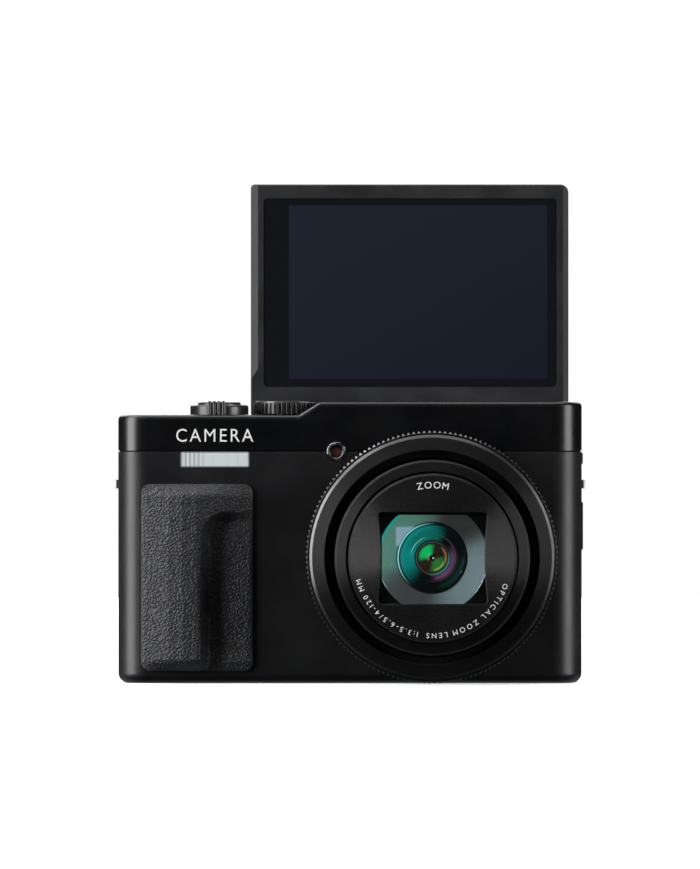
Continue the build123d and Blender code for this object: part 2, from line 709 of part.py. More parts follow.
def mode_dial():
    """The ribbed mode dial, standing in its pocket beside the hump."""
    ribs = toothed_face(44, MODE_R, MODE_R - 0.42, 0.5, 0.66)
    dial = Pos(MODE_X, MODE_Y, 0) * z_prism(ribs, (65.0, 67.7))
    dial += rod_z(MODE_R - 0.45, (64.95, 68.1), MODE_X, MODE_Y)
    dial = fillet(dial.edges().group_by(Axis.Z)[-1], 0.25)
    dial -= rod_z(6.6, (67.95, 69), MODE_X, MODE_Y)
    return dial + rod_z(4.5, (61.8, 65.0), MODE_X, MODE_Y)


def deck_button(x, y, radius, top):
    cap = rod_z(radius, (62.6, top), x, y)
    cap = fillet(cap.edges().group_by(Axis.Z)[-1], 0.3)
    return cap + rod_z(radius + 0.6, (61.9, 62.7), x, y)


def rear_dial():
    """The thumb wheel that stands out of the back under the deck."""
    wheel = z_prism(toothed_face(60, REAR_DIAL_R, REAR_DIAL_R - 0.35, 0.35, 0.75), (59.7, 62.8))
    wheel = Pos(REAR_DIAL_X, REAR_DIAL_Y, 0) * wheel
    return wheel - rod_z(1.56, (50, 70), REAR_DIAL_X, REAR_DIAL_Y)


def rear_button(x, z, radius):
    cap = rod_y(radius, (12.6, REAR_Y + 0.5), x, z)
    cap = fillet(cap.edges().group_by(Axis.Y)[-1], 0.3)
    return cap + rod_y(radius + 0.35, (11.9, 12.7), x, z)


def cursor_pad():
    pad = rod_y(PAD_R, (12.6, REAR_Y + 0.6), PAD_X, PAD_Z)
    pad = fillet(pad.edges().group_by(Axis.Y)[-1], 0.5)
    pad += rod_y(PAD_R + 0.6, (11.7, 12.6), PAD_X, PAD_Z)
    return pad - rod_y(4.0, (0, 30), PAD_X, PAD_Z)


def menu_button():
    cap = rod_y(3.6, (11.0, REAR_Y + 0.8), PAD_X, PAD_Z)
    return fillet(cap.edges().group_by(Axis.Y)[-1], 0.4)


def diopter_dial():
    wheel = z_prism(toothed_face(40, DIOPTER_R, DIOPTER_R - 0.25, 0.35, 0.75), DIOPTER_Z)
    return Pos(DIOPTER_X, DIOPTER_Y, 0) * wheel - rod_z(1.0, (50, 60), DIOPTER_X, DIOPTER_Y)


# ---------------------------------------------------------------- doors
def door_plate(margin, z):
    """The battery door's outline with rounded free corners; a margin makes the hole it lies in."""
    hinge_side = DOOR_X[1] if margin == 0 else BASE_X[0] - margin
    plate = block((DOOR_X[0] - margin, hinge_side), widened(DOOR_Y, margin), z)
    free = plate.edges().filter_by(Axis.Z).group_by(Axis.X)[0]
    return fillet(free, 1.6 + margin)


def battery_door():
    """The door over the battery and card, hinged along Y on its inner edge."""
    plate = door_plate(0, (0.02, WALL))
    plate += rod_y(WALL / 2 - 0.02, DOOR_Y, DOOR_X[1], WALL / 2)
    return plate - block((-50.0, -43.0), (-6.3, -0.9), (-1, 0.75))


def door_latch():
    latch = block((-49.8, -46.2), (-6.1, -1.1), (0.1, 0.7))
    for i in range(4):
        latch -= block((-49.2 + 0.8 * i, -48.8 + 0.8 * i), (-5.6, -1.6), (0, 0.35))
    return latch


def port_cover():
    """The flap over the side sockets, hinged along Z on its rear edge."""
    hinge_x, hinge_y = HALF_WIDTH - 0.2, PORT_Y[1] - 0.8
    z_mid, height = (PORT_Z[0] + PORT_Z[1]) / 2, PORT_Z[1] - PORT_Z[0]
    flap = block((HALF_WIDTH - 0.75, HALF_WIDTH + 0.35), (PORT_Y[0] + 0.1, hinge_y), PORT_Z)
    flap += rod_z(0.55, PORT_Z, hinge_x, hinge_y)
    return flap


# ---------------------------------------------------------------- monitor
def monitor_outline(inset=0.0):
    """The monitor's outline while closed, in X and Z; its free lower corners are rounded."""
    x = (MON_X[0] + inset, MON_X[1] - inset)
    z = (MON_Z[0] + inset, MON_Z[1] - inset)
    face = Pos((x[0] + x[1]) / 2, (z[0] + z[1]) / 2) * Rectangle(x[1] - x[0], z[1] - z[0])
    low = face.vertices().sort_by(Axis.Y)[:2].sort_by(Axis.X)
    face = fillet(low[0], 0.9)
    right = [v for v in face.vertices() if v.X > x[1] - 0.1 and v.Y < z[0] + 0.1]
    face = fillet(right, 2.0)
    top = [v for v in face.vertices() if v.Y > z[1] - 0.1]
    return fillet(top, 0.5)


def monitor_shell():
    """The monitor's rear housing, with two headed studs that run in the hinge plate's slots."""
    shell = y_prism(monitor_outline(), (MON_BACK_Y, MON_SPLIT_Y))
    shell = fillet(shell.edges().group_by(Axis.Y)[0], 1.2)
    shell -= block((MON_X[0] + 1.5, MON_X[1] - 1.5), (MON_BACK_Y + 1.2, 20), (MON_Z[0] + 1.5, MON_Z[1] - 1.5))
    for x in SLOT_X:
        shell += rod_y(1.0, (6.5, MON_BACK_Y + 0.3), x, SLOT_Z)
        shell += rod_y(1.8, (6.4, 6.8), x, SLOT_Z)
    return shell


def monitor_bezel():
    """The monitor's front frame; its inner edge carries a long thumb bevel that stops short of the hinge."""
    frame = y_prism(monitor_outline(), (MON_SPLIT_Y, MON_FACE_Y))
    frame = chamfer(frame.edges().group_by(Axis.Y)[-1], 0.3)
    left, face = MON_X[0], MON_FACE_Y
    wedge = Polyline(
        (left - 1, face + 1),
        (left - 1, face - 1.9),
        (left, face - 1.25),
        (left + 1.75, face),
        (left + 1.75, face + 1),
        close=True,
    )
    cut = z_prism(make_face(wedge), (-5, 60))
    run_out = Polyline(
        (left - 3, -9),
        (left + 3, -9),
        (left + 3, 44.8),
        (left + 1.8, 47.5),
        (left, 50.2),
        (left - 3, 52.5),
        close=True,
    )
    frame -= cut & y_prism(make_face(run_out), (5, 20))
    right = MON_X[1]
    side = Polyline(
        (right + 1, face + 1),
        (right + 1, face - 1.4),
        (right, face - 0.85),
        (right - 1.3, face),
        (right - 1.3, face + 1),
        close=True,
    )
    frame -= z_prism(make_face(side), (-5, 70))
    return frame - y_prism(rounded_window(GLASS_X, GLASS_Z, 1.1), (0, 30))


def monitor_glass():
    x = (GLASS_X[0] + 0.08, GLASS_X[1] - 0.08)
    z = (GLASS_Z[0] + 0.08, GLASS_Z[1] - 0.08)
    return y_prism(rounded_window(x, z, 1.0), (13.2, MON_FACE_Y - 0.12))


def lcd_panel():
    return block((GLASS_X[0] + 1.2, GLASS_X[1] - 0.9), (9.4, 13.1), (GLASS_Z[0] + 1.0, GLASS_Z[1] - 1.0))


def hinge_plate():
    """The bent steel plate between body and monitor: knuckles, a short leg and a slotted leaf."""
    leaf = block((-11.8, 19.8), (6.9, 7.6), (26.0, AXIS_Z))
    leg = block((-11.8, 19.8), (6.9, AXIS_Y), (AXIS_Z - 0.8, AXIS_Z))
    plate = leaf + leg - block((-0.3, 8.3), (10.5, 20), (50, 70))
    for x in knuckle_spans(moving=True):
        plate += rod_x(1.0, x, AXIS_Y, AXIS_Z)
    for x in SLOT_X:
        slot = Pos(x, SLOT_Z - LIFT / 2) * Rot(0, 0, 90) * SlotCenterToCenter(LIFT + 0.2, 2.3)
        plate -= y_prism(slot, (6, 8))
    plate -= rod_x(0.53, (-20, 30), AXIS_Y, AXIS_Z)
    return plate


def hinge_pin():
    return rod_x(0.5, (-16.4, 24.4), AXIS_Y, AXIS_Z)


# ---------------------------------------------------------------- build
def build():
    top, front, rear, base = covers()
    save(soften_seam(top, SEAM_Z + SEAM_GAP), "top_cover")
    save(soften_seam(front, SEAM_Z - SEAM_GAP), "front_cover")
    save(soften_seam(rear, SEAM_Z - SEAM_GAP), "rear_cover")
    save(base, "base_plate")
    plain = [
        grip_pad,
        thumb_pad,
        flash_window,
        flash_reflector,
        assist_lamp_bezel,
        assist_lamp,
        control_ring,
        lens_housing,
        outer_barrel,
        inner_barrel,
        name_ring,
        front_element,
        rear_lens_group,
        drive_ring,
        drive_pinion,
        zoom_motor,
        image_sensor,
        main_board,
        chassis,
        battery,
        memory_card,
        tripod_socket,
        strap_lugs,
        case_screws,
        viewfinder_frame,
        viewfinder_lens,
        zoom_lever,
        shutter_button,
        mode_dial,
        rear_dial,
        cursor_pad,
        menu_button,
        diopter_dial,
        battery_door,
        door_latch,
        port_cover,
        hinge_pin,
    ]
    for make in plain:
        save(make(), make.__name__)
    for side, word in ((1, "upper"), (-1, "lower")):
        for layer in range(3):
            save(barrier_leaf(side, layer), f"barrier_leaf_{word}_{layer + 1}")
    for name, (x, z, radius) in rear_buttons().items():
        save(rear_button(x, z, radius), name)
    save(deck_button(POWER_X, POWER_Y, 2.95, 64.95), "power_button")
    save(deck_button(RECORD_X, RECORD_Y, 2.65, DECK_Z - 0.05), "record_button")
    save(socket(40.6, 3.4, (6.2, 2.4)), "hdmi_socket")
    save(socket(35.2, 3.0, (7.0, 2.0)), "usb_socket")
    save(flipped(hinge_plate()), "hinge_plate")
    for make in (monitor_shell, monitor_bezel, monitor_glass, lcd_panel):
        save(flipped_and_lifted(make()), make.__name__)


build()
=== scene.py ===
import json
import math

import bpy
import numpy as np
from mathutils import Matrix, Vector


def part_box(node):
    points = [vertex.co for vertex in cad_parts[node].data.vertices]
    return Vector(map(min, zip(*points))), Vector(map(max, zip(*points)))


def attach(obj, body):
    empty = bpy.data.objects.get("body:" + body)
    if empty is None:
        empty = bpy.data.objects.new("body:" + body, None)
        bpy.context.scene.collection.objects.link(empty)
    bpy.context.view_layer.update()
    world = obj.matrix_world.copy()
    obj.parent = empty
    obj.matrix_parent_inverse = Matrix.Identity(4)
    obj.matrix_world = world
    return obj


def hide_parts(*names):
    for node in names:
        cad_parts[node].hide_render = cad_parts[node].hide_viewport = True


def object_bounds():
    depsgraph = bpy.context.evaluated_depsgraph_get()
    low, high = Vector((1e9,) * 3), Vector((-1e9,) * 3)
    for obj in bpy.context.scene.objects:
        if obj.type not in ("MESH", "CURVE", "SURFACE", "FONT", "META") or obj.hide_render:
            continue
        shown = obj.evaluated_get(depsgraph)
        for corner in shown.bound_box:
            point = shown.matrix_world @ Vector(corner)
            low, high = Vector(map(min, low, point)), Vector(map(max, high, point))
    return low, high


MM = 0.001

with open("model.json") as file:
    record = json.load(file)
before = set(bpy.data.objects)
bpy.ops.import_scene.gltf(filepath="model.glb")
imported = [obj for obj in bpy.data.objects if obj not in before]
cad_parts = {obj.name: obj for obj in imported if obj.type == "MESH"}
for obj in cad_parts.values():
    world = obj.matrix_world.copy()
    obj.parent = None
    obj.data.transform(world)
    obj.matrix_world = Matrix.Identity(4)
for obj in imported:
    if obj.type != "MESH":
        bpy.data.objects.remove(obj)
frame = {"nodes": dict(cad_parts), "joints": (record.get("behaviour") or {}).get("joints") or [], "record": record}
cad_low, cad_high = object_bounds()
nodes = frame["nodes"]
joints = {joint["name"]: joint for joint in frame["joints"]}


def centre(node):
    """The middle of a node's box."""
    low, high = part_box(node)
    return (low + high) / 2


def pivot(joint):
    """The point that a joint turns about."""
    return Vector(joints[joint]["pos_m"])


LENS = pivot("control_ring_turn")
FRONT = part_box("front_cover")[0].y + 1.0 * MM  # the body's front face; the lens boss stands 1 mm proud
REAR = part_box("rear_cover")[1].y
NAME_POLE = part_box("name_ring")[1].y - 2.3 * MM  # where the name ring's dome would meet the lens axis
NAME_CURVE = 216 * MM  # the dome's radius
DECK = 64.7 * MM  # the low deck beside the zoom lever
WORD_HEIGHT = 59.8 * MM  # the middle of the word on the front
PRINT = 0.03 * MM  # thickness of printed lettering
MARK_PRINT = 0.02 * MM  # thickness of printed symbols
SMOOTH_BELOW = math.radians(38)  # sharper edges than this stay sharp


# ------------------------------------------------------------------ shaders
class Look:
    """One material, built from nodes on object coordinates in metres."""

    def __init__(self, name):
        self.material = bpy.data.materials.new(name)
        self.material.use_nodes = True
        self.tree = self.material.node_tree
        self.surface = self.tree.nodes["Principled BSDF"]
        self.place = self.tree.nodes.new("ShaderNodeTexCoord").outputs["Object"]

    def add(self, kind, **settings):
        node = self.tree.nodes.new("ShaderNode" + kind)
        for key, value in settings.items():
            setattr(node, key, value)
        return node

    def feed(self, value, socket):
        """Sets a socket to a number or colour, or links it to another node's output."""
        if isinstance(value, bpy.types.NodeSocket):
            self.tree.links.new(value, socket)
        elif isinstance(value, (tuple, list)) and len(value) == 3 and socket.type == "RGBA":
            socket.default_value = (*value, 1.0)
        else:
            socket.default_value = value

    def set(self, name, value):
        self.feed(value, self.surface.inputs[name])

    def math(self, operation, a, b=0.0):
        node = self.add("Math", operation=operation)
        self.feed(a, node.inputs[0])
        self.feed(b, node.inputs[1])
        return node.outputs[0]

    def span(self, value, low, high, out_low=0.0, out_high=1.0, smooth=False):
        """Maps value from low..high to out_low..out_high, held at both ends."""
        node = self.add("MapRange", interpolation_type="SMOOTHSTEP" if smooth else "LINEAR")
        for slot, number in zip(node.inputs, (value, low, high, out_low, out_high)):
            self.feed(number, slot)
        return node.outputs[0]

    def mix(self, factor, a, b):
        node = self.add("Mix", data_type="RGBA")
        for slot, value in zip((0, 6, 7), (factor, a, b)):
            self.feed(value, node.inputs[slot])
        return node.outputs[2]

    def noise(self, size, detail=2.0, roughness=0.5, stretch=None):
        """Noise whose features are about size metres across."""
        where = self.place
        if stretch:
            scaled = self.add("Mapping")
            scaled.inputs["Scale"].default_value = stretch
            self.feed(self.place, scaled.inputs["Vector"])
            where = scaled.outputs["Vector"]
        node = self.add("TexNoise")
        self.feed(where, node.inputs["Vector"])
        node.inputs["Scale"].default_value = 1.0 / size
        node.inputs["Detail"].default_value = detail
        node.inputs["Roughness"].default_value = roughness
        return node.outputs["Fac"]

    def cells(self, size):
        """Distance to the nearest point of a scatter about size metres apart."""
        node = self.add("TexVoronoi")
        self.feed(self.place, node.inputs["Vector"])
        node.inputs["Scale"].default_value = 1.0 / size
        return node.outputs["Distance"]

    def axes(self):
        node = self.add("SeparateXYZ")
        self.feed(self.place, node.inputs[0])
        return node.outputs

    def from_point(self, point):
        """Offsets from a point, in metres, along X and Z."""
        x, _, z = self.axes()
        return self.math("SUBTRACT", x, point.x), self.math("SUBTRACT", z, point.z)

    def relief(self, *layers, base=None):
        """Bumps from (height, depth in metres) layers, one on the other."""
        normal = base
        for height, depth in layers:
            node = self.add("Bump")
            node.inputs["Distance"].default_value = depth
            node.inputs["Strength"].default_value = 1.0
            self.feed(height, node.inputs["Height"])
            if normal is not None:
                self.feed(normal, node.inputs["Normal"])
            normal = node.outputs["Normal"]
        return normal

    def soft_edges(self, radius):
        node = self.add("Bevel", samples=4)
        node.inputs["Radius"].default_value = radius
        return node.outputs["Normal"]

    def worn_and_highlit_share(self, rounded):
        """How much of an edge a point lies on, from 0 on flat faces to 1."""
        geometry = self.add("NewGeometry")
        node = self.add("VectorMath", operation="DOT_PRODUCT")
        self.feed(rounded, node.inputs[0])
        self.feed(geometry.outputs["Normal"], node.inputs[1])
        return self.span(node.outputs["Value"], 0.995, 0.90)


def moulded(
    name,
    colour,
    roughness,
    lighter=1.25,
    specular=0.5,
    grain=0.3 * MM,
    depth=0.006 * MM,
    mottle=9.0 * MM,
    edge=0.12 * MM,
    wear_and_highlight=0.25,
    spread=0.06,
):
    """Painted, moulded or machined surface with fine grain, a slow mottle and lighter edges, partly real rubbing
    and partly a painted edge highlight.
    """
    look = Look(name)
    slow = look.noise(mottle, 3.0)
    fine = look.noise(grain, 4.0, 0.65)
    bright = tuple(min(1.0, c * lighter + 0.002) for c in colour)
    dark = tuple(c / lighter for c in colour)
    tint = look.mix(look.span(slow, 0.35, 0.65), dark, bright)
    rounded = look.soft_edges(edge)
    # lighter edges: partly real rubbing, partly a painted edge highlight
    if wear_and_highlight:
        rubbed_and_highlit = tuple(min(1.0, c * 2.2 + 0.05 * wear_and_highlight) for c in colour)
        worn_and_highlit_share = look.math("MULTIPLY", look.worn_and_highlit_share(rounded), look.span(slow, 0.3, 0.7, 0.2 * wear_and_highlight, wear_and_highlight))
        tint = look.mix(worn_and_highlit_share, tint, rubbed_and_highlit)
    look.set("Base Color", tint)
    shine = look.span(slow, 0.3, 0.7, roughness - spread, roughness + spread)
    look.set("Roughness", look.math("ADD", shine, look.span(fine, 0.3, 0.7, -0.03, 0.03)))
    look.set("Normal", look.relief((fine, depth), base=rounded))
    look.set("Specular IOR Level", specular)
    return look.material


def brushed(name, colour, roughness, stretch, wear_and_highlight=0.4):
    """Metal with fine scratches drawn out along one axis."""
    look = Look(name)
    lines = look.noise(0.25 * MM, 4.0, 0.7, stretch)
    slow = look.noise(6.0 * MM, 2.0)
    bright = tuple(min(1.0, c * 1.18) for c in colour)
    dark = tuple(c * 0.8 for c in colour)
    rounded = look.soft_edges(0.1 * MM)
    tint = look.mix(look.span(lines, 0.3, 0.7), dark, bright)
    # lighter edges: partly real rubbing, partly a painted edge highlight
    rubbed_and_highlit = tuple(min(1.0, c * 1.5) for c in colour)
    tint = look.mix(look.math("MULTIPLY", look.worn_and_highlit_share(rounded), wear_and_highlight), tint, rubbed_and_highlit)
    look.set("Base Color", tint)
    look.set("Metallic", 1.0)
    scratched = look.span(lines, 0.3, 0.7, roughness - 0.08, roughness + 0.08)
    look.set("Roughness", look.math("ADD", scratched, look.span(slow, 0.3, 0.7, -0.05, 0.05)))
    look.set("Normal", look.relief((lines, 0.003 * MM), base=rounded))
    return look.material


def leather(name, colour):
    """Moulded leather grain: the mesh carries the pebbles, the shader adds pores and creases, with painted shade
    that darkens the creases and lightens the pebble tops.
    """
    look = Look(name)
    pores = look.noise(0.16 * MM, 5.0, 0.7)
    creases = look.cells(0.95 * MM)
    slow = look.noise(7.0 * MM, 2.0)
    # painted shade: lighter pebble tops, darker creases
    bright = tuple(c * 1.35 for c in colour)
    dark = tuple(c * 0.7 for c in colour)
    tint = look.mix(look.span(creases, 0.15, 0.7), bright, dark)
    tint = look.mix(look.span(slow, 0.3, 0.7, 0.0, 0.35), tint, colour)
    look.set("Base Color", tint)
    look.set("Roughness", look.span(pores, 0.3, 0.7, 0.42, 0.60))
    look.set("Specular IOR Level", 0.5)
    look.set("Normal", look.relief((creases, 0.02 * MM), (pores, 0.02 * MM)))
    return look.material


def rubber_grain(name, colour):
    """Rubber with a pebbled leather pattern in its shader only, with painted shade that lightens the pebble tops
    and darkens the gaps between them.
    """
    look = Look(name)
    pebbles = look.cells(0.8 * MM)
    pores = look.noise(0.15 * MM, 4.0, 0.7)
    # painted shade: lighter pebble tops, darker gaps
    bright = tuple(c * 1.4 for c in colour)
    dark = tuple(c * 0.6 for c in colour)
    tint = look.mix(look.span(pebbles, 0.1, 0.7), bright, dark)
    look.set("Base Color", tint)
    look.set("Roughness", look.span(pores, 0.3, 0.7, 0.5, 0.68))
    raised = look.math("MULTIPLY", pebbles, -1.0)
    look.set("Normal", look.relief((raised, 0.06 * MM), (pores, 0.01 * MM), base=look.soft_edges(0.2 * MM)))
    return look.material


def turned_metal(
    name,
    colour,
    roughness,
    axis,
    groove=0.010 * MM,
    metallic=0.9,
    specular=0.5,
    wear_and_highlight=0.6,
    bright_beyond=None,
):
    """Black anodised metal with lathe rings about an axis, lighter edges that are partly real rubbing and partly a
    painted edge highlight, and perhaps a paler outer band.
    """
    look = Look(name)
    ring = 0.12 * MM
    dx, dz = look.from_point(axis)
    radius = look.math("SQRT", look.math("ADD", look.math("MULTIPLY", dx, dx), look.math("MULTIPLY", dz, dz)))
    wave = look.math("SINE", look.math("MULTIPLY", radius, 2 * math.pi / ring))
    slow = look.noise(8.0 * MM, 2.0)
    fine = look.noise(0.2 * MM, 3.0, 0.6)
    rounded = look.soft_edges(0.12 * MM)
    bright = tuple(c * 1.15 for c in colour)
    dark = tuple(c * 0.85 for c in colour)
    # lighter edges: partly real rubbing, partly a painted edge highlight
    rubbed_and_highlit = tuple(min(1.0, c * 5 + 0.04) for c in colour)
    tint = look.mix(look.span(slow, 0.3, 0.7), dark, bright)
    tint = look.mix(look.math("MULTIPLY", look.worn_and_highlit_share(rounded), wear_and_highlight), tint, rubbed_and_highlit)
    look.set("Metallic", metallic)
    if bright_beyond:
        band = look.span(radius, bright_beyond, bright_beyond + 0.1 * MM)
        wave = look.math("MULTIPLY", wave, look.math("SUBTRACT", 1.0, band))
        tint = look.mix(band, tint, (0.110, 0.111, 0.114))
        look.set("Metallic", look.math("MULTIPLY", band, 0.85))
    look.set("Base Color", tint)
    look.set("Specular IOR Level", specular)
    look.set("Roughness", look.span(fine, 0.3, 0.7, roughness - 0.04, roughness + 0.04))
    layers = [(wave, groove)] if groove else []
    look.set("Normal", look.relief(*layers, (fine, 0.003 * MM), base=rounded))
    return look.material


def ink(name, colour):
    """Printed lettering: matt, with a slightly uneven film and a faint painted glow."""
    look = Look(name)
    film = look.noise(0.25 * MM, 3.0, 0.6)
    look.set("Base Color", look.mix(look.span(film, 0.3, 0.7), tuple(c * 0.9 for c in colour), colour))
    # painted light: the ink glows a little, so it stays bright without front light
    look.set("Emission Color", colour)
    look.set("Emission Strength", 0.3)
    look.set("Roughness", look.span(film, 0.3, 0.7, 0.4, 0.55))
    look.set("Normal", look.relief((film, 0.002 * MM)))
    return look.material


def screen_look():
    """Cover glass over a black printed border and a dark, switched-off liquid crystal picture, with a painted
    sheen that lightens it upwards and towards −X.
    """
    look = Look("screen glass")
    low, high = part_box("monitor_glass")
    x, _, z = look.axes()
    left, right = low.x + 6.1 * MM, high.x - 2.2 * MM
    bottom, top = low.z + 1.9 * MM, high.z - 1.6 * MM
    soft = 0.06 * MM
    inside = look.math("MULTIPLY", look.span(x, left, left + soft), look.span(x, right, right - soft))
    inside = look.math("MULTIPLY", inside, look.span(z, bottom, bottom + soft))
    inside = look.math("MULTIPLY", inside, look.span(z, top, top - soft))
    haze = look.noise(30.0 * MM, 2.0)
    # painted sheen: the picture is lighter upwards and towards −X
    fall = look.span(look.math("SUBTRACT", z, look.math("MULTIPLY", x, 0.5)), bottom - 20 * MM, top)
    picture = look.mix(fall, (0.0150, 0.0195, 0.0325), (0.0225, 0.0300, 0.0480))
    picture = look.mix(look.span(haze, 0.3, 0.7, 0.0, 0.25), picture, (0.0190, 0.0245, 0.0400))
    look.set("Base Color", look.mix(inside, (0.0115, 0.0120, 0.0155), picture))
    smear = look.noise(12.0 * MM, 3.0, 0.6)
    look.set("Roughness", look.span(smear, 0.35, 0.7, 0.05, 0.12))
    look.set("Specular IOR Level", 0.35)
    look.set("Normal", look.relief((look.noise(40.0 * MM, 1.0), 0.01 * MM)))
    return look.material


def clear_glass(name, tint):
    """Thin coated glass that lets light straight through and keeps its gloss."""
    look = Look(name)
    smear = look.noise(5.0 * MM, 3.0, 0.6)
    cleaner = tuple(min(1.0, c * 1.05) for c in tint)
    look.set("Base Color", look.mix(look.span(smear, 0.3, 0.7), tint, cleaner))
    look.set("Roughness", look.span(smear, 0.35, 0.7, 0.0, 0.02))
    look.set("Transmission Weight", 1.0)
    look.set("IOR", 1.01)
    look.set("Coat Weight", 1.0)
    look.set("Coat Roughness", 0.02)
    look.set("Coat IOR", 1.5)
    return look.material


def flash_look():
    """Frosted window painted with the reflection of a bright reflector behind it, grey ribs at its outer end and
    soft streaks, a dark outline and a faint painted glow.
    """
    look = Look("flash window")
    low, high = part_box("flash_window")
    x, _, z = look.axes()
    along = look.span(x, low.x, high.x)
    rib_pitch = 1.04 * MM
    turns = look.math("MULTIPLY", look.math("SUBTRACT", x, low.x), 2 * math.pi / rib_pitch)
    narrow = look.math("SINE", turns)
    wide = look.noise(1.3 * MM, 2.0, 0.5, (1.0, 1.0, 0.02))
    ribs = look.math("MULTIPLY", look.span(narrow, -0.1, 0.8), look.span(along, 0.37, 0.27))
    # painted reflection: the white is the lit reflector seen through the window, with ribs and streaks over it
    lined = look.mix(ribs, (0.90, 0.97, 0.99), (0.52, 0.58, 0.60))
    streaked = look.mix(look.span(wide, 0.46, 0.66, 0.0, 0.30), lined, (0.66, 0.74, 0.77))
    edge = look.math("MULTIPLY", look.span(z, low.z + 0.1 * MM, low.z + 0.45 * MM),
                     look.span(z, high.z - 0.1 * MM, high.z - 0.45 * MM))
    ends = look.math("MULTIPLY", look.span(x, low.x + 0.1 * MM, low.x + 0.4 * MM),
                     look.span(x, high.x - 0.1 * MM, high.x - 0.4 * MM))
    colour = look.mix(look.math("MULTIPLY", edge, ends), (0.16, 0.18, 0.19), streaked)
    look.set("Base Color", look.mix(0.5, colour, (0.0, 0.0, 0.0)))
    look.set("Roughness", look.span(wide, 0.3, 0.7, 0.12, 0.25))
    # painted light: the window glows, though the flash is not firing
    look.set("Emission Color", colour)
    look.set("Emission Strength", 0.36)
    look.set("Normal", look.relief((narrow, 0.01 * MM), (wide, 0.02 * MM)))
    look.set("Coat Weight", 0.6)
    return look.material


def distance(look, dx, dz):
    """Millimetres from an axis, whatever the direction."""
    squares = look.math("ADD", look.math("MULTIPLY", dx, dx), look.math("MULTIPLY", dz, dz))
    return look.math("MULTIPLY", look.math("SQRT", squares), 1 / MM)


def slope(look, dx, dz, degrees):
    """Millimetres from the lens axis along a direction in the XZ plane."""
    a = math.radians(degrees)
    across, up = look.math("MULTIPLY", dx, math.cos(a) / MM), look.math("MULTIPLY", dz, math.sin(a) / MM)
    return look.math("ADD", across, up)


def arcs(look, base, dx, dz, painted_light_arcs):
    """Lays arcs of painted reflection and painted shade over a base: inner and outer radius, middle, half width,
    softness, colour, strength.
    """
    radius = distance(look, dx, dz)
    for inner, outer, middle, half, soft, colour, strength in painted_light_arcs:
        turned = look.math("DIVIDE", slope(look, dx, dz, middle), radius)
        limit, full = math.cos(math.radians(half)), math.cos(math.radians(half * 0.2))
        side = look.span(turned, limit, full, smooth=True)
        rise, fall = look.span(radius, inner, inner + soft), look.span(radius, outer, outer - soft)
        band = look.math("MULTIPLY", rise, fall)
        share = look.math("MULTIPLY", look.math("MULTIPLY", side, band), strength)
        base = look.mix(share, base, colour)
    return base


def lens_look(name, painted_light_arcs, ground, low, high, axis):
    """Coated optics in painted light: a ground colour running from painted shade to painted light along a
    direction, under coloured arcs of painted reflection, all glowing.
    """
    look = Look(name)
    dx, dz = look.from_point(LENS)
    base = look.mix(look.span(slope(look, dx, dz, axis), low, high, smooth=True), ground[0], ground[1])
    base = arcs(look, base, dx, dz, painted_light_arcs)
    # painted light: the colours glow through emission
    look.set("Base Color", look.mix(0.75, base, (0.0, 0.0, 0.0)))
    look.set("Emission Color", base)
    look.set("Emission Strength", 1.0)
    look.set("Roughness", look.span(look.noise(0.3 * MM), 0.3, 0.7, 0.30, 0.42))
    look.set("Specular IOR Level", 0.1)
    return look, dx, dz, base


def cone_look():
    """The grey funnel behind the front glass, with a painted blue-green reflection at its edge and a painted
    reflection of a soft box.
    """
    painted_light_arcs = (
        (8.0, 14.0, 152, 82, 0.3, (0.075, 0.200, 0.160), 0.9),
        (8.0, 14.0, -30, 72, 0.3, (0.125, 0.178, 0.195), 0.9),
        (8.0, 14.0, 52, 38, 0.3, (0.022, 0.022, 0.022), 0.85),
        (8.0, 14.0, 232, 44, 0.3, (0.040, 0.043, 0.045), 0.85),
        (12.2, 13.9, 146, 34, 0.5, (0.008, 0.260, 0.225), 0.95),
        (8.0, 8.75, 0, 360, 0.2, (0.003, 0.003, 0.003), 0.85),
        (13.0, 13.9, 40, 60, 0.3, (0.002, 0.002, 0.002), 0.9),
    )
    ground = ((0.045, 0.048, 0.050), (0.048, 0.055, 0.052))
    look, dx, dz, base = lens_look("lens funnel", painted_light_arcs, ground, -9, 9, 110)
    # painted reflection: a pale blue rectangle for a mirrored soft box
    across = look.math("MULTIPLY", look.span(dx, -8.9 * MM, -8.5 * MM), look.span(dx, -3.2 * MM, -4.6 * MM))
    painted_softbox = look.math("MULTIPLY", across, look.span(dz, 2.5 * MM, 3.1 * MM))
    painted_softbox = look.math("MULTIPLY", painted_softbox, look.span(dz, 7.6 * MM, 7.2 * MM))
    base = look.mix(look.math("MULTIPLY", painted_softbox, 0.8), base, (0.250, 0.370, 0.480))
    look.set("Emission Color", base)
    return look.material


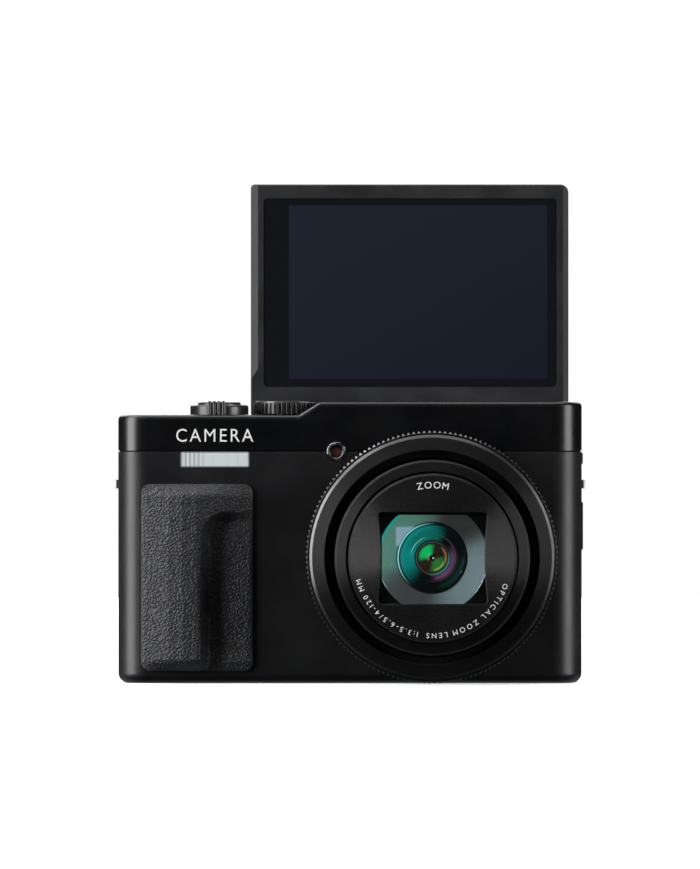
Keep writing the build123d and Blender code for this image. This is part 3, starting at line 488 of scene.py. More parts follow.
def rings_look():
    """The rear lens group: fine concentric lines of painted reflection, blue-green on the side painted as lit and
    black on the side painted as shaded.
    """
    painted_light_arcs = [
        (4.0, 7.9, 148, 92, 0.3, (0.001, 0.215, 0.200), 1.0),
        (4.0, 7.0, 112, 60, 0.6, (0.003, 0.110, 0.080), 0.75),
        (6.3, 7.9, -38, 48, 0.5, (0.001, 0.022, 0.016), 0.9),
        (7.98, 8.4, 158, 76, 0.10, (0.300, 0.760, 0.740), 0.9),
        (7.55, 7.9, 225, 110, 0.1, (0.001, 0.001, 0.001), 0.7),
        (4.2, 5.5, -30, 70, 0.35, (0.115, 0.048, 0.150), 0.85),
        (4.6, 5.3, -58, 30, 0.3, (0.200, 0.050, 0.130), 0.6),
        (5.45, 5.75, -10, 110, 0.1, (0.095, 0.070, 0.080), 0.75),
        (5.95, 6.15, -25, 60, 0.08, (0.070, 0.060, 0.030), 0.6),
        (5.0, 5.25, 140, 36, 0.1, (0.220, 0.640, 0.560), 0.9),
    ]
    # painted reflections: fine blue-green lines on the side painted as lit
    for i in range(6):
        inner = 5.5 + 0.38 * i
        painted_light_arcs.append((inner, inner + 0.15, 140, 80, 0.06, (0.008, 0.120, 0.110), 0.7))
    ground = ((0.0012, 0.0020, 0.0022), (0.0015, 0.006, 0.006))
    return lens_look("lens rings", painted_light_arcs, ground, -4, 6, 150)[0].material


def inner_glass_look():
    """The small inner glass in painted reflections: a green dome in a dark ring, with warm fringes, a tiny iris
    and a painted glint.
    """
    painted_light_arcs = (
        (-0.5, 3.5, 138, 66, 0.7, (0.003, 0.460, 0.115), 1.0),
        (0.5, 3.6, -48, 64, 0.6, (0.022, 0.160, 0.035), 0.95),
        (2.6, 3.3, -52, 40, 0.3, (0.300, 0.360, 0.070), 0.8),
        (3.3, 4.6, 140, 180, 0.25, (0.003, 0.014, 0.013), 1.0),
        (3.65, 3.95, 150, 175, 0.12, (0.130, 0.110, 0.100), 0.6),
        (3.0, 3.5, 12, 44, 0.2, (0.400, 0.190, 0.055), 0.85),
        (3.7, 4.3, -42, 72, 0.2, (0.040, 0.220, 0.210), 0.85),
        (0.3, 1.5, 175, 60, 0.4, (0.220, 0.160, 0.130), 0.5),
        (-0.5, 0.85, 0, 360, 0.25, (0.0005, 0.0005, 0.0008), 1.0),
    )
    ground = ((0.020, 0.009, 0.005), (0.012, 0.012, 0.010))
    look, dx, dz, base = lens_look("inner glass", painted_light_arcs, ground, -2, 3, 130)
    # painted highlight: a small pale glint just off the middle
    away = distance(look, look.math("ADD", dx, -0.2 * MM), look.math("ADD", dz, 0.1 * MM))
    look.set("Emission Color", look.mix(look.span(away, 0.26, 0.12), base, (0.75, 0.75, 0.80)))
    look.set("Coat Weight", 0.3)
    return look.material


def stage_look(name, colour, glow):
    """A matt, faintly flecked surface that glows evenly."""
    look = Look(name)
    fleck = look.noise(40.0 * MM, 3.0)
    look.set("Base Color", look.mix(look.span(fleck, 0.3, 0.7), tuple(c * 0.985 for c in colour), colour))
    look.set("Roughness", 0.9)
    look.set("Specular IOR Level", 0.1)
    look.set("Emission Color", (1.0, 1.0, 1.0, 1.0))
    look.set("Emission Strength", glow)
    return look.material


# ------------------------------------------------------------------ mesh helpers
def settle(name, mesh, body, material):
    """Puts a mesh into the scene as a piece that rides on a body."""
    piece = bpy.data.objects.new(name, mesh)
    bpy.context.scene.collection.objects.link(piece)
    mesh.materials.append(material)
    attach(piece, body)
    return piece


def mesh_piece(name, points, faces, body, material, smooth=True):
    """A piece from points in metres and faces."""
    mesh = bpy.data.meshes.new(name)
    mesh.from_pydata([tuple(p) for p in points], [], [tuple(f) for f in faces])
    mesh.validate()
    if smooth:
        mesh.shade_smooth()
        mesh.set_sharp_from_angle(angle=SMOOTH_BELOW)
    return settle(name, mesh, body, material)


def lathe(name, profile, body, material):
    """A ring or disc turned about the lens axis from (radius, y) points, in metres."""
    points, faces = [], []
    steps = 128
    for i in range(steps):
        a = 2 * math.pi * i / steps
        for radius, y in profile:
            points.append((LENS.x + radius * math.cos(a), y, LENS.z + radius * math.sin(a)))
    n = len(profile)
    for i in range(steps):
        j = (i + 1) % steps
        for k in range(n - 1):
            faces.append((i * n + k, j * n + k, j * n + k + 1, i * n + k + 1))
    return mesh_piece(name, points, faces, body, material)


def glyph_mesh(text, size, spacing=1.0):
    """A piece of text as a thin mesh in its own XY plane, starting at the origin."""
    curve = bpy.data.curves.new("glyph", "FONT")
    curve.body = text
    curve.size = size
    curve.extrude = PRINT / 2
    curve.resolution_u = 4
    curve.space_character = spacing
    holder = bpy.data.objects.new("glyph", curve)
    bpy.context.scene.collection.objects.link(holder)
    bpy.context.view_layer.update()
    evaluated = holder.evaluated_get(bpy.context.evaluated_depsgraph_get())
    mesh = bpy.data.meshes.new_from_object(evaluated)
    bpy.data.objects.remove(holder)
    bpy.data.curves.remove(curve)
    return mesh


def facing(direction, up):
    """A rotation that turns text so that it reads from the side that direction points to."""
    z = Vector(direction).normalized()
    y = Vector(up).normalized()
    x = y.cross(z)
    return Matrix((x, y, z)).transposed().to_4x4()


def letters(name, text, size, at, direction, up, body, material, slot, box=None, spacing=1.0):
    """Printed lettering centred at a point; box sets its overall width and height."""
    mesh = glyph_mesh(text, size, spacing)
    co = np.array([v.co for v in mesh.vertices])
    low, high = co.min(0), co.max(0)
    wide, tall = (box[0] / (high[0] - low[0]), box[1] / (high[1] - low[1])) if box else (1.0, 1.0)
    squeeze = Matrix.Diagonal((wide, tall, 1.0, 1.0))
    shift = Matrix.Translation(-Vector(((low[0] + high[0]) / 2, (low[1] + high[1]) / 2, 0)))
    mesh.transform(Matrix.Translation(Vector(at)) @ facing(direction, up) @ squeeze @ shift)
    return settle(name, mesh, body, material)


def arc_letters(name, text, size, radius, middle_deg, sweep_deg, body, material):
    """Lettering on the domed name ring, tops outward at a radius, spread over an arc about a middle angle."""
    glyphs, total = [], 0.0
    for character in text:
        if character == " ":
            total += size * 0.42
            continue
        mesh = glyph_mesh(character, size)
        across = np.array([v.co.x for v in mesh.vertices])
        glyphs.append((mesh, total, across.min(), across.max()))
        total += across.max() - across.min()
    middle_radius = radius - size * 0.35
    gap = (math.radians(sweep_deg) * middle_radius - total) / (len(glyphs) - 1)
    verts, faces = [], []
    for count, (mesh, start, low, high) in enumerate(glyphs):
        along = start + (high - low) / 2 + gap * count
        angle = math.radians(middle_deg + sweep_deg / 2) - along / middle_radius
        out = Vector((math.cos(angle), 0, math.sin(angle)))
        at = Vector((LENS.x, 0, LENS.z)) + out * (radius - size * 0.7)
        centred = Matrix.Translation((-(low + high) / 2, 0, 0))
        mesh.transform(Matrix.Translation(at) @ facing((0, -1, 0), out) @ centred)
        first = len(verts)
        for v in mesh.vertices:
            far = math.hypot(v.co.x - LENS.x, v.co.z - LENS.z)
            verts.append((v.co.x, v.co.y + NAME_POLE + far * far / (2 * NAME_CURVE), v.co.z))
        faces += [tuple(first + i for i in p.vertices) for p in mesh.polygons]
        bpy.data.meshes.remove(mesh)
    whole = bpy.data.meshes.new(name)
    whole.from_pydata(verts, [], faces)
    return settle(name, whole, body, material)


# ------------------------------------------------------------------ leather grip
def worley(u, v, seed):
    """Distances to the nearest and second nearest of one random point per unit cell."""
    rng = np.random.default_rng(seed)
    table = rng.random((64, 64, 2))
    cu, cv = np.floor(u).astype(int), np.floor(v).astype(int)
    first = np.full(u.shape, 9.0)
    second = np.full(u.shape, 9.0)
    for i in (-1, 0, 1):
        for j in (-1, 0, 1):
            jitter = table[(cu + i) % 64, (cv + j) % 64]
            d = np.hypot(cu + i + jitter[..., 0] - u, cv + j + jitter[..., 1] - v)
            second = np.minimum(np.maximum(first, d), second)
            first = np.minimum(first, d)
    return first, second


def smoothstep(value, low, high):
    """From 0 at low to 1 at high, with soft ends."""
    t = np.clip((value - low) / (high - low), 0, 1)
    return t * t * (3 - 2 * t)


def ripple(x, z, size, seed):
    """A smooth random wave, from -1 to 1, with features of about the given size."""
    rng = np.random.default_rng(seed)
    total = np.zeros_like(x)
    for _ in range(7):
        angle, phase = rng.random() * 2 * math.pi, rng.random() * 2 * math.pi
        total += np.sin((x * math.cos(angle) + z * math.sin(angle)) * 2 * math.pi / size + phase)
    return total / 7


def grip_height(x, z, low, high):
    """How far the grip stands out of its seat at a point, all in millimetres from its own corner."""
    width, height = high[0] - low[0], high[1] - low[1]
    u, w = x - low[0], z - low[1]
    crown = np.interp(u, np.linspace(0, width, 9), [0.45, 2.1, 3.6, 4.5, 4.75, 4.1, 3.1, 2.0, 1.0])
    # scoop for the fingertips: a rounded corner cut out of the lower inner part
    edge_u, edge_w, corner = 14.5, 38.3, 6.5
    cu, cw = edge_u + corner, edge_w - corner
    to_arc, to_sides = corner - np.hypot(u - cu, w - cw), np.minimum(u - edge_u, edge_w - w)
    inside = np.where((u < cu) & (w > cw), to_arc, to_sides)
    wall = smoothstep(inside, -0.5, 2.3)
    floor = 0.55 + 0.35 * smoothstep(u, 18.0, width) + 0.5 * smoothstep(6.0 - w, 0, 6)
    body = crown * (1 - wall) + np.minimum(floor, crown) * wall
    ends = smoothstep(w, -1.2, 3.0) * smoothstep(height - w, -1.6, 3.2)
    sides = smoothstep(u, -0.8, 1.2) * smoothstep(width - u, -0.8, 1.0)
    return 0.35 + (body - 0.35) * ends * (0.45 + 0.55 * sides)


def rounded_grid(x0, x1, z0, z1, step, corner):
    """Grid points over a rectangle whose corners are pulled in to a radius, all in millimetres."""
    nx, nz = int((x1 - x0) / step), int((z1 - z0) / step)
    x, z = np.meshgrid(np.linspace(x0, x1, nx), np.linspace(z0, z1, nz), indexing="ij")
    for cx, sx in ((x0 + corner, -1), (x1 - corner, 1)):
        for cz, sz in ((z0 + corner, -1), (z1 - corner, 1)):
            dx, dz = (x - cx) * sx, (z - cz) * sz
            here = (dx > 0) & (dz > 0)
            far = np.hypot(dx, dz)
            pull = np.where(here & (far > 0), np.maximum(dx, dz) / np.maximum(far, 1e-9), 1.0)
            x, z = np.where(here, cx + dx * pull * sx, x), np.where(here, cz + dz * pull * sz, z)
    return x, z


def pebbles(x, z):
    """Leather pebbles, about 0 in the creases and 1 on top, drawn out along a slant."""
    slant = math.radians(38)
    u = x * math.cos(slant) + z * math.sin(slant)
    v = -x * math.sin(slant) + z * math.cos(slant)
    u = u + 0.55 * ripple(x, z, 4.1, 3) + 0.18 * ripple(x, z, 1.3, 4)
    v = v + 0.55 * ripple(x, z, 3.7, 5) + 0.18 * ripple(x, z, 1.1, 6)
    f1, f2 = worley(u / 0.98, v / 0.72, 11)
    g1, g2 = worley(u / 0.46, v / 0.36, 12)
    pebble = smoothstep(f2 - f1, 0.0, 0.42) * 0.8 + smoothstep(g2 - g1, 0.0, 0.3) * 0.2
    return pebble + 0.15 * ripple(x, z, 0.8, 8)


def leather_grip():
    """The pebbled grip with its finger scoop, in place of the plain pad."""
    low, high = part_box("grip_pad")
    x0, x1, z0, z1 = (v / MM for v in (low.x, high.x, low.z, high.z))
    x, z = rounded_grid(x0, x1, z0, z1, 0.14, 2.0)
    nx, nz = x.shape
    rise = grip_height(x, z, (x0, z0), (x1, z1))
    margin = np.minimum(np.minimum(x - x0, x1 - x), np.minimum(z - z0, z1 - z))
    relief = 0.21
    rise = rise + relief * (pebbles(x, z) - 0.6) * smoothstep(margin, 0.1, 0.9)
    seat = FRONT / MM + 0.5
    points = np.stack([x, FRONT / MM - rise, z], -1).reshape(-1, 3)
    faces = []
    for i in range(nx - 1):
        row = i * nz
        faces += [(row + j, row + nz + j, row + nz + j + 1, row + j + 1) for j in range(nz - 1)]
    rim = [j for j in range(nz)] + [i * nz + nz - 1 for i in range(1, nx)]
    rim += [(nx - 1) * nz + j for j in range(nz - 2, -1, -1)] + [i * nz for i in range(nx - 2, 0, -1)]
    start = len(points)
    skirt = points[rim].copy()
    skirt[:, 1] = seat
    points = np.vstack([points, skirt])
    for k, a in enumerate(rim):
        b = rim[(k + 1) % len(rim)]
        faces.append((a, b, start + (k + 1) % len(rim), start + k))
    faces.append(tuple(start + k for k in range(len(rim)))[::-1])
    hide = leather("grip leather", (0.042, 0.043, 0.047))
    piece = mesh_piece("leather_grip", points * MM, faces, "camera_body", hide)
    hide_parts("grip_pad")


# ------------------------------------------------------------------ lens interior
def lens_interior():
    """What shows through the front glass: a funnel, stepped rings and a small inner glass."""
    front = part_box("inner_barrel")[0].y
    outline = ((13.58, 3.6), (13.2, 3.9), (8.45, 8.1), (8.45, 8.9))  # radius, depth behind the barrel's front
    cone = [(radius * MM, front + depth * MM) for radius, depth in outline]
    lathe("lens_funnel", cone, "inner_barrel", cone_look())
    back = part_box("rear_lens_group")[0].y
    profile = [(8.35 * MM, back + 0.1 * MM), (8.15 * MM, back - 0.15 * MM), (7.85 * MM, back + 0.1 * MM)]
    radius, depth = 7.6, 0.35
    while radius > 4.8:
        profile += [(radius * MM, back + depth * MM), ((radius - 0.45) * MM, back + (depth + 0.12) * MM)]
        radius -= 0.62
        depth += 0.42
    profile += [(4.75 * MM, back + 2.4 * MM), (4.6 * MM, back + 2.0 * MM), (4.3 * MM, back + 2.2 * MM)]
    rings = lathe("lens_rings", profile, "inner_barrel", rings_look())
    dome = [(4.45 * MM, back + 2.3 * MM)]
    widest = 4.2
    for i in range(13):
        r = widest * (1 - i / 12)
        dome.append((max(r, 0.01) * MM, back + (0.9 + 1.25 * (r / widest) ** 2) * MM))
    lathe("inner_glass", dome, "inner_barrel", inner_glass_look())
    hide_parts("rear_lens_group")


def aperture_plate():
    """The black plate behind the barrier leaves: a window with rounded corners, cut off by a circle."""
    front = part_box("inner_barrel")[0].y - 0.07 * MM
    left, right, bottom, top, corner = -12.1, 13.9, -11.6, 10.35, 1.2
    circle, outer, deep = 13.15, 17.6, 1.45
    points, faces = [], []
    steps = 240
    for i in range(steps):
        a = 2 * math.pi * i / steps
        c, d = math.cos(a), math.sin(a)
        reach = min((right if c > 0 else left) / c if abs(c) > 1e-6 else 99,
                    (top if d > 0 else bottom) / d if abs(d) > 1e-6 else 99)
        for side_x, side_z in ((right, top), (left, top), (left, bottom), (right, bottom)):
            mx, mz = side_x - math.copysign(corner, side_x), side_z - math.copysign(corner, side_z)
            x, z = reach * c, reach * d
            if (x - mx) * side_x > 0 and (z - mz) * side_z > 0:
                b = mx * c + mz * d
                reach = b + math.sqrt(max(0.0, b * b - mx * mx - mz * mz + corner * corner))
        reach = min(reach, circle)
        for radius, y in ((outer, 0.0), (reach, 0.0), (reach, deep), (reach + 0.3, deep), (outer, 0.04)):
            points.append((LENS.x + radius * c * MM, front + y * MM, LENS.z + radius * d * MM))
    for i in range(steps):
        j = (i + 1) % steps
        for k in range(5):
            n = (k + 1) % 5
            faces.append((i * 5 + k, j * 5 + k, j * 5 + n, i * 5 + n))
    mesh_piece("aperture_plate", points, faces, "inner_barrel", PLATE_BLACK)


def seam_gasket(name, side, inner_end):
    """A strip that fills the seam along one side (1 right, -1 left) and round its front corner."""
    low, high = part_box("rear_cover")
    half_gap, half_strip = 0.1 * MM, 0.095 * MM
    seam = high.z + half_gap
    edge = high.x if side > 0 else -low.x
    radius, depth = 7.0 * MM, 0.9 * MM
    inset = 0.35 * MM
    rear_end = 10.4 * MM
    path = [((edge - inset), rear_end, 1.0, 0.0)]
    for i in range(13):
        a = math.radians(90 * i / 12)
        c, d = math.cos(a), math.sin(a)
        path.append((edge - radius + (radius - inset) * c, FRONT + radius - (radius - inset) * d, c, d))
    path.append((inner_end, FRONT + inset, 0.0, 1.0))
    points, faces = [], []
    for x, y, c, d in path:
        for inwards, z in ((0.0, -1), (0.0, 1), (depth, 1), (depth, -1)):
            points.append((side * (x - inwards * c), y + inwards * d, seam + z * half_strip))
    for i in range(len(path) - 1):
        for k in range(4):
            n = (k + 1) % 4
            quad = (i * 4 + k, i * 4 + n, i * 4 + 4 + n, i * 4 + 4 + k)
            faces.append(quad if side > 0 else quad[::-1])
    last = len(points) - 4
    faces.append((3, 2, 1, 0) if side > 0 else (0, 1, 2, 3))
    faces.append((last, last + 1, last + 2, last + 3) if side > 0 else (last + 3, last + 2, last + 1, last))
    mesh_piece(name, points, faces, "camera_body", PLATE_BLACK)


# ------------------------------------------------------------------ assign materials
TOP_PAINT = moulded("top cover paint", (0.0024, 0.0026, 0.0033), 0.30, lighter=1.12, specular=0.60,
                    spread=0.02, grain=0.22 * MM, depth=0.004 * MM, edge=0.15 * MM, wear_and_highlight=0.3)
BODY_PAINT = moulded("lower body paint", (0.0105, 0.0107, 0.0122), 0.42, lighter=1.12, specular=0.60,
                     spread=0.03, grain=0.22 * MM, depth=0.006 * MM, edge=0.15 * MM, wear_and_highlight=0.3)
MONITOR_PLASTIC = moulded("monitor frame", (0.034, 0.0345, 0.0375), 0.50, specular=0.25, grain=0.18 * MM,
                          depth=0.010 * MM, edge=0.12 * MM, wear_and_highlight=0.25)
FINE_PLASTIC = moulded("fine black plastic", (0.0125, 0.0130, 0.0145), 0.50, grain=0.18 * MM,
                       depth=0.010 * MM, edge=0.12 * MM, wear_and_highlight=0.3)
BUTTON_PLASTIC = moulded("button plastic", (0.014, 0.014, 0.015), 0.34, grain=0.3 * MM,
                         depth=0.003 * MM, wear_and_highlight=0.4)
GLOSS_BLACK = moulded("gloss black", (0.006, 0.006, 0.007), 0.16, grain=0.4 * MM, depth=0.001 * MM, wear_and_highlight=0.2)
BARREL_BLACK = turned_metal("barrel black", (0.012, 0.012, 0.013), 0.30, LENS, groove=0.011 * MM,
                            metallic=0.0, specular=0.26, wear_and_highlight=0.35)
RING_BLACK = turned_metal("ring black", (0.012, 0.012, 0.013), 0.32, LENS, groove=0.010 * MM, metallic=0.0,
                          specular=0.2, wear_and_highlight=0.7, bright_beyond=28.75 * MM)
NAME_BLACK = turned_metal("name ring black", (0.011, 0.011, 0.012), 0.28, LENS, groove=0.012 * MM,
                          metallic=0.0, specular=0.3, wear_and_highlight=0.4)
DIAL_BLACK = turned_metal("dial black", (0.085, 0.085, 0.088), 0.30, pivot("mode_dial_turn"), groove=0.0,
                          metallic=0.85, wear_and_highlight=0.6)
LEVER_BLACK = turned_metal("lever black", (0.060, 0.060, 0.062), 0.30, pivot("zoom_lever_swing"), groove=0.0,
                           metallic=0.8, wear_and_highlight=0.6)
LUG_STEEL = brushed("lug steel", (0.45, 0.45, 0.46), 0.36, (1.0, 1.0, 0.2), wear_and_highlight=0.2)
PLATE_BLACK = moulded("barrier plate", (0.0022, 0.0023, 0.0025), 0.5, specular=0.2, wear_and_highlight=0.05)
THUMB_RUBBER = rubber_grain("thumb rubber", (0.020, 0.020, 0.022))
BRIGHT_METAL = brushed("bright metal", (0.66, 0.66, 0.66), 0.28, (1.0, 1.0, 0.1))
DARK_STEEL = brushed("hinge steel", (0.30, 0.31, 0.33), 0.38, (1.0, 1.0, 0.06))
GREY_METAL = brushed("grey metal", (0.42, 0.42, 0.43), 0.42, (1.0, 0.1, 1.0))
BRASS = brushed("socket metal", (0.72, 0.70, 0.66), 0.32, (1.0, 1.0, 0.2))
LAMP_RIM = brushed("lamp rim", (0.26, 0.26, 0.27), 0.25, (1.0, 1.0, 1.0))
BOARD = moulded("circuit board", (0.02, 0.12, 0.06), 0.4, wear_and_highlight=0.0)
LABEL = moulded("battery case", (0.10, 0.10, 0.11), 0.5, wear_and_highlight=0.1)
BLUE = moulded("card plastic", (0.02, 0.05, 0.18), 0.4, wear_and_highlight=0.1)
MIRROR = brushed("reflector", (0.85, 0.85, 0.86), 0.1, (1.0, 1.0, 1.0))
FRONT_GLASS = clear_glass("front glass", (0.97, 1.0, 0.99))
FINDER_GLASS = clear_glass("finder glass", (0.25, 0.26, 0.28))
WHITE_INK = ink("white ink", (0.86, 0.86, 0.86))
RED_INK = ink("red ink", (0.55, 0.02, 0.02))


def lamp_look():
    """The dim red lamp, warmest in the middle."""
    look = Look("lamp red")
    dx, dz = look.from_point(centre("assist_lamp"))
    radius = distance(look, dx, dz)
    warm = look.mix(look.span(radius, 0.2, 1.3), (0.20, 0.060, 0.035), (0.045, 0.020, 0.016))
    fleck = look.span(look.noise(0.5 * MM), 0.4, 0.6, 0, 0.5)
    look.set("Base Color", look.mix(fleck, warm, (0.11, 0.05, 0.04)))
    look.set("Roughness", look.span(look.noise(0.8 * MM), 0.3, 0.7, 0.10, 0.2))
    look.set("Coat Weight", 0.7)
    return look.material


SLOT_LOOKS = {
    "body_black": BODY_PAINT,
    "grip_leather": THUMB_RUBBER,
    "black_plastic": FINE_PLASTIC,
    "gloss_black": GLOSS_BLACK,
    "button_plastic": BUTTON_PLASTIC,
    "ring_black": RING_BLACK,
    "barrel_black": BARREL_BLACK,
    "bright_metal": BRIGHT_METAL,
    "hinge_steel": DARK_STEEL,
    "brass": BRASS,
    "lens_glass": FINDER_GLASS,
    "flash_glass": flash_look(),
    "lamp_red": lamp_look(),
    "screen_glass": screen_look(),
    "lcd": GLOSS_BLACK,
    "reflector": MIRROR,
    "circuit_green": BOARD,
    "grey_metal": GREY_METAL,
    "label_grey": LABEL,
    "blue_plastic": BLUE,
}
NODE_LOOKS = {
    "top_cover": TOP_PAINT,
    "monitor_bezel": MONITOR_PLASTIC,
    "front_element": FRONT_GLASS,
    "name_ring": NAME_BLACK,
    "mode_dial": DIAL_BLACK,
    "rear_dial": DIAL_BLACK,
    "zoom_lever": LEVER_BLACK,
    "shutter_button": LEVER_BLACK,
    "assist_lamp_bezel": LAMP_RIM,
    "strap_lugs": LUG_STEEL,
}
for subpart in frame["record"]["subparts"]:
    cad_mesh = nodes[subpart["node"]].data
    cad_mesh.materials.clear()
    cad_mesh.materials.append(NODE_LOOKS.get(subpart["node"], SLOT_LOOKS[subpart["material_slot"]]))
nodes["front_element"].visible_shadow = False
nodes["viewfinder_lens"].visible_shadow = False


# ------------------------------------------------------------------ lettering
def shape(name, outline, at, direction, up, body, material, slot):
    """A printed symbol from an outline in millimetres."""
    turn = Matrix.Translation(Vector(at)) @ facing(direction, up)
    loop = [turn @ Vector((x * MM, y * MM, lift)) for lift in (0.0, MARK_PRINT) for x, y in outline]
    n = len(outline)
    faces = [tuple(range(n, 2 * n)), tuple(range(n - 1, -1, -1))]
    faces += [(k, (k + 1) % n, n + (k + 1) % n, n + k) for k in range(n)]
    return mesh_piece(name, loop, faces, body, material, smooth=False)


def disc(radius):
    """A circle's outline about the origin."""
    angles = [2 * math.pi * i / 32 for i in range(32)]
    return [(radius * math.cos(a), radius * math.sin(a)) for a in angles]


def control_marks():
    """Generic symbols on and beside the buttons on the back and the top."""
    back, above = ((0, 1, 0), (0, 0, 1)), ((0, 0, 1), (0, -1, 0))

    def on_back(node, dx=0.0, dz=0.0):
        low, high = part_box(node)
        on = high.y if dx == 0 and dz == 0 else REAR
        return ((low.x + high.x) / 2 - dx * MM, on + 0.005 * MM, (low.z + high.z) / 2 + dz * MM)

    white = (WHITE_INK, "bright_metal")
    by_viewfinder, by_function = on_back("viewfinder_button", 0, -2.5), on_back("function_button", 0, 3.2)
    letters("menu_mark", "MENU", 1.5 * MM, on_back("menu_button"), *back, "menu_button", *white)
    letters("viewfinder_mark", "EVF", 1.2 * MM, by_viewfinder, *back, "camera_body", *white)
    letters("function_mark", "Fn", 1.4 * MM, by_function, *back, "camera_body", *white)
    play = [(-0.75, -0.85), (0.85, 0.0), (-0.75, 0.85)]
    shape("playback_mark", play, on_back("playback_button"), *back, "playback_button", *white)
    bin_outline = [(-0.5, -0.9), (0.5, -0.9), (0.65, 0.45), (0.9, 0.45), (0.9, 0.7), (0.3, 0.7), (0.3, 0.95),
                   (-0.3, 0.95), (-0.3, 0.7), (-0.9, 0.7), (-0.9, 0.45), (-0.65, 0.45)]
    shape("delete_mark", bin_outline, on_back("delete_button"), *back, "delete_button", *white)
    pad = centre("cursor_pad")
    pad_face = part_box("cursor_pad")[1].y
    spread = 6.6 * MM
    for i, word in enumerate(("+/-", "WB", "AF", "ISO")):
        a = math.radians(90 - 90 * i)
        at = (pad.x - spread * math.cos(a), pad_face, pad.z + spread * math.sin(a))
        letters(f"pad_mark_{i + 1}", word, 1.3 * MM, at, *back, "cursor_pad", *white)
    power, record, lever = centre("power_button"), centre("record_button"), pivot("zoom_lever_swing")
    power_top, record_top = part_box("power_button")[1].z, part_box("record_button")[1].z
    red = (RED_INK, "bright_metal")
    bar = [(x * 0.18, y * 0.62 + 0.35) for x, y in disc(0.95)]
    shape("power_mark", bar, (power.x, power.y, power_top), *above, "power_button", *white)
    shape("record_mark", disc(0.85), (record.x, record.y, record_top), *above, "record_button", *red)
    for word, dx in (("T", -8.6), ("W", 8.6)):
        at = (lever.x + dx * MM, lever.y - 2.5 * MM, DECK)
        letters(f"zoom_mark_{word.lower()}", word, 1.5 * MM, at, *above, "camera_body", *white)


def body_marks():
    """Generic lettering: a plain word on the front, lens data round the glass, and the dial's modes."""
    window = centre("flash_window")
    letters("front_word", "CAMERA", 4.0 * MM, (window.x, FRONT, WORD_HEIGHT), (0, -1, 0), (0, 0, 1),
            "camera_body", WHITE_INK, "bright_metal", box=(18.6 * MM, 3.15 * MM), spacing=1.25)
    arc_letters("lens_word", "ZOOM", 2.3 * MM, 18.3 * MM, 90, 25, "inner_barrel", WHITE_INK)
    arc_letters("lens_data", "OPTICAL ZOOM LENS  1:3.5-6.5/4-120 MM", 1.75 * MM, 19.1 * MM, -91.7, 144.6,
                "inner_barrel", WHITE_INK)
    dial = pivot("mode_dial_turn")
    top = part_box("mode_dial")[1].z - 0.15 * MM
    for i, word in enumerate(("P", "A", "S", "M", "C1", "C2", "SCN", "AUTO")):
        angle = math.radians(90 + i * 45)
        out = Vector((math.cos(angle), math.sin(angle), 0))
        size = 1.9 if len(word) == 1 else 1.35
        at = Vector((dial.x, dial.y, top)) + out * 4.9 * MM
        letters(f"dial_mark_{i + 1}", word, size * MM, at, (0, 0, 1), out, "mode_dial", WHITE_INK,
                "bright_metal")


leather_grip()
lens_interior()
aperture_plate()
seam_gasket("seam_gasket_left", -1, 42.0 * MM)
seam_gasket("seam_gasket_right", 1, 37.5 * MM)
body_marks()
control_marks()


# ------------------------------------------------------------------ stage, light and camera
def plane(name, corners, material):
    """A flat stage piece, which isn't part of the camera."""
    mesh = bpy.data.meshes.new(name)
    mesh.from_pydata(corners, [], [tuple(range(len(corners)))])
    piece = bpy.data.objects.new(name, mesh)
    bpy.context.scene.collection.objects.link(piece)
    mesh.materials.append(material)
    return piece


AIM = Vector((0.0, 0.0, 0.055))  # the middle of the camera body, where every box points


def softbox(name, at, size, power, mirrored):
    """A rectangular area light; the glossy surfaces show it only if it is mirrored."""
    lamp = bpy.data.lights.new(name, "AREA")
    lamp.shape = "RECTANGLE"
    lamp.size, lamp.size_y = size
    lamp.energy = power
    holder = bpy.data.objects.new(name, lamp)
    bpy.context.scene.collection.objects.link(holder)
    holder.location = at
    holder.rotation_mode = "QUATERNION"
    holder.rotation_quaternion = (AIM - Vector(at)).to_track_quat("-Z", "Y")
    holder.visible_glossy = mirrored


FLOOR_RADIUS = 1.3
floor_ring = [
    (FLOOR_RADIUS * math.cos(2 * math.pi * i / 96), FLOOR_RADIUS * math.sin(2 * math.pi * i / 96), cad_low.z)
    for i in range(96)
]
floor = plane("floor", floor_ring, stage_look("pale floor", (0.9, 0.9, 0.9), 0.55))
floor.visible_glossy = False
floor.visible_diffuse = False
floor.visible_transmission = False

# the last two light the back only softly, so that the glossy deck doesn't mirror them
for softbox_facts in (
    ("left box", (-1.13, -0.46, 0.30), (0.72, 1.1), 20, True),
    ("right box", (1.15, -0.56, 0.25), (0.62, 1.0), 11.5, True),
    ("top box", (0.0, 0.15, 1.3), (1.2, 0.6), 7, True),
    ("upper left box", (-0.80, 0.10, 1.15), (0.5, 0.5), 8, True),
    ("front fill", (-0.5, -1.6, 1.9), (0.7, 0.7), 2.5, True),
    ("back box", (0.0, 1.6, 0.9), (1.6, 0.8), 12, True),
    ("rear left box", (-0.90, 1.25, 0.55), (0.8, 0.7), 22, False),
    ("rear right box", (1.00, 1.15, 0.45), (0.7, 0.7), 17, False),
):
    softbox(*softbox_facts)

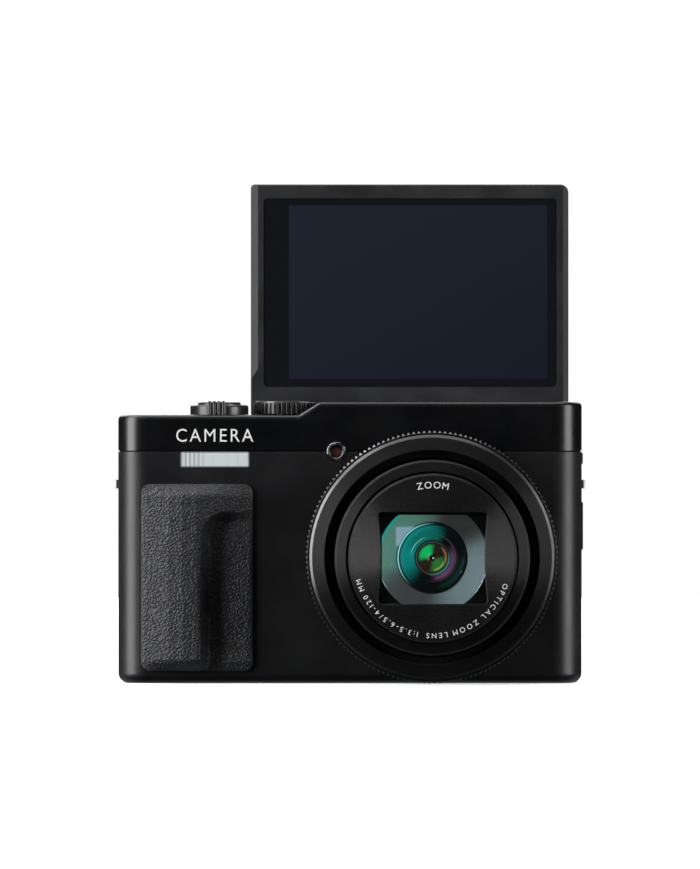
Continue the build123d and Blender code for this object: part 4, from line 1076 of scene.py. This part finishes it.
world = bpy.data.worlds.new("studio")
bpy.context.scene.world = world
world.use_nodes = True
sky = world.node_tree
backdrop = sky.nodes["Background"]
backdrop.inputs["Color"].default_value = (1.0, 1.0, 1.0, 1.0)
room = sky.nodes.new("ShaderNodeBackground")
room.inputs["Color"].default_value = (0.85, 0.92, 1.0, 1.0)
# apart from a dim glow all round, only the low part of the room behind the camera body gives light
ROOM_GLOW, REAR_GLOW = 0.02, 0.45
heading = sky.nodes.new("ShaderNodeTexCoord")
split = sky.nodes.new("ShaderNodeSeparateXYZ")
sky.links.new(heading.outputs["Generated"], split.inputs[0])
glow = [sky.nodes.new("ShaderNodeMapRange") for _ in range(2)]
for ramp, axis, near, far, gain in zip(glow, (1, 2), (0.10, -0.08), (0.50, -0.35), (1.0, REAR_GLOW)):
    sky.links.new(split.outputs[axis], ramp.inputs["Value"])
    ramp.inputs["From Min"].default_value = near
    ramp.inputs["From Max"].default_value = far
    ramp.inputs["To Max"].default_value = gain
both = sky.nodes.new("ShaderNodeMath")
both.operation = "MULTIPLY_ADD"
sky.links.new(glow[0].outputs[0], both.inputs[0])
sky.links.new(glow[1].outputs[0], both.inputs[1])
both.inputs[2].default_value = ROOM_GLOW
sky.links.new(both.outputs[0], room.inputs["Strength"])
seen = sky.nodes.new("ShaderNodeLightPath")
blend = sky.nodes.new("ShaderNodeMixShader")
sky.links.new(seen.outputs["Is Camera Ray"], blend.inputs[0])
sky.links.new(room.outputs[0], blend.inputs[1])
sky.links.new(backdrop.outputs[0], blend.inputs[2])
sky.links.new(blend.outputs[0], sky.nodes["World Output"].inputs["Surface"])

CAMERA_DISTANCE = 2.5
CAMERA_HEIGHT = 0.060
FRAME_HEIGHT = 0.21065  # what the camera sees from top to bottom at the body
SENSOR = 36.0
camera_data = bpy.data.cameras.new("camera")
camera_data.sensor_width = SENSOR
camera_data.lens = SENSOR * CAMERA_DISTANCE / FRAME_HEIGHT
camera_data.clip_start = 0.1
camera_data.clip_end = 20.0
camera = bpy.data.objects.new("camera", camera_data)
bpy.context.scene.collection.objects.link(camera)
camera.location = (0.0, -CAMERA_DISTANCE, CAMERA_HEIGHT)
camera.rotation_euler = (math.radians(90), 0, 0)
bpy.context.scene.camera = camera
bpy.context.scene.view_settings.view_transform = "Standard"
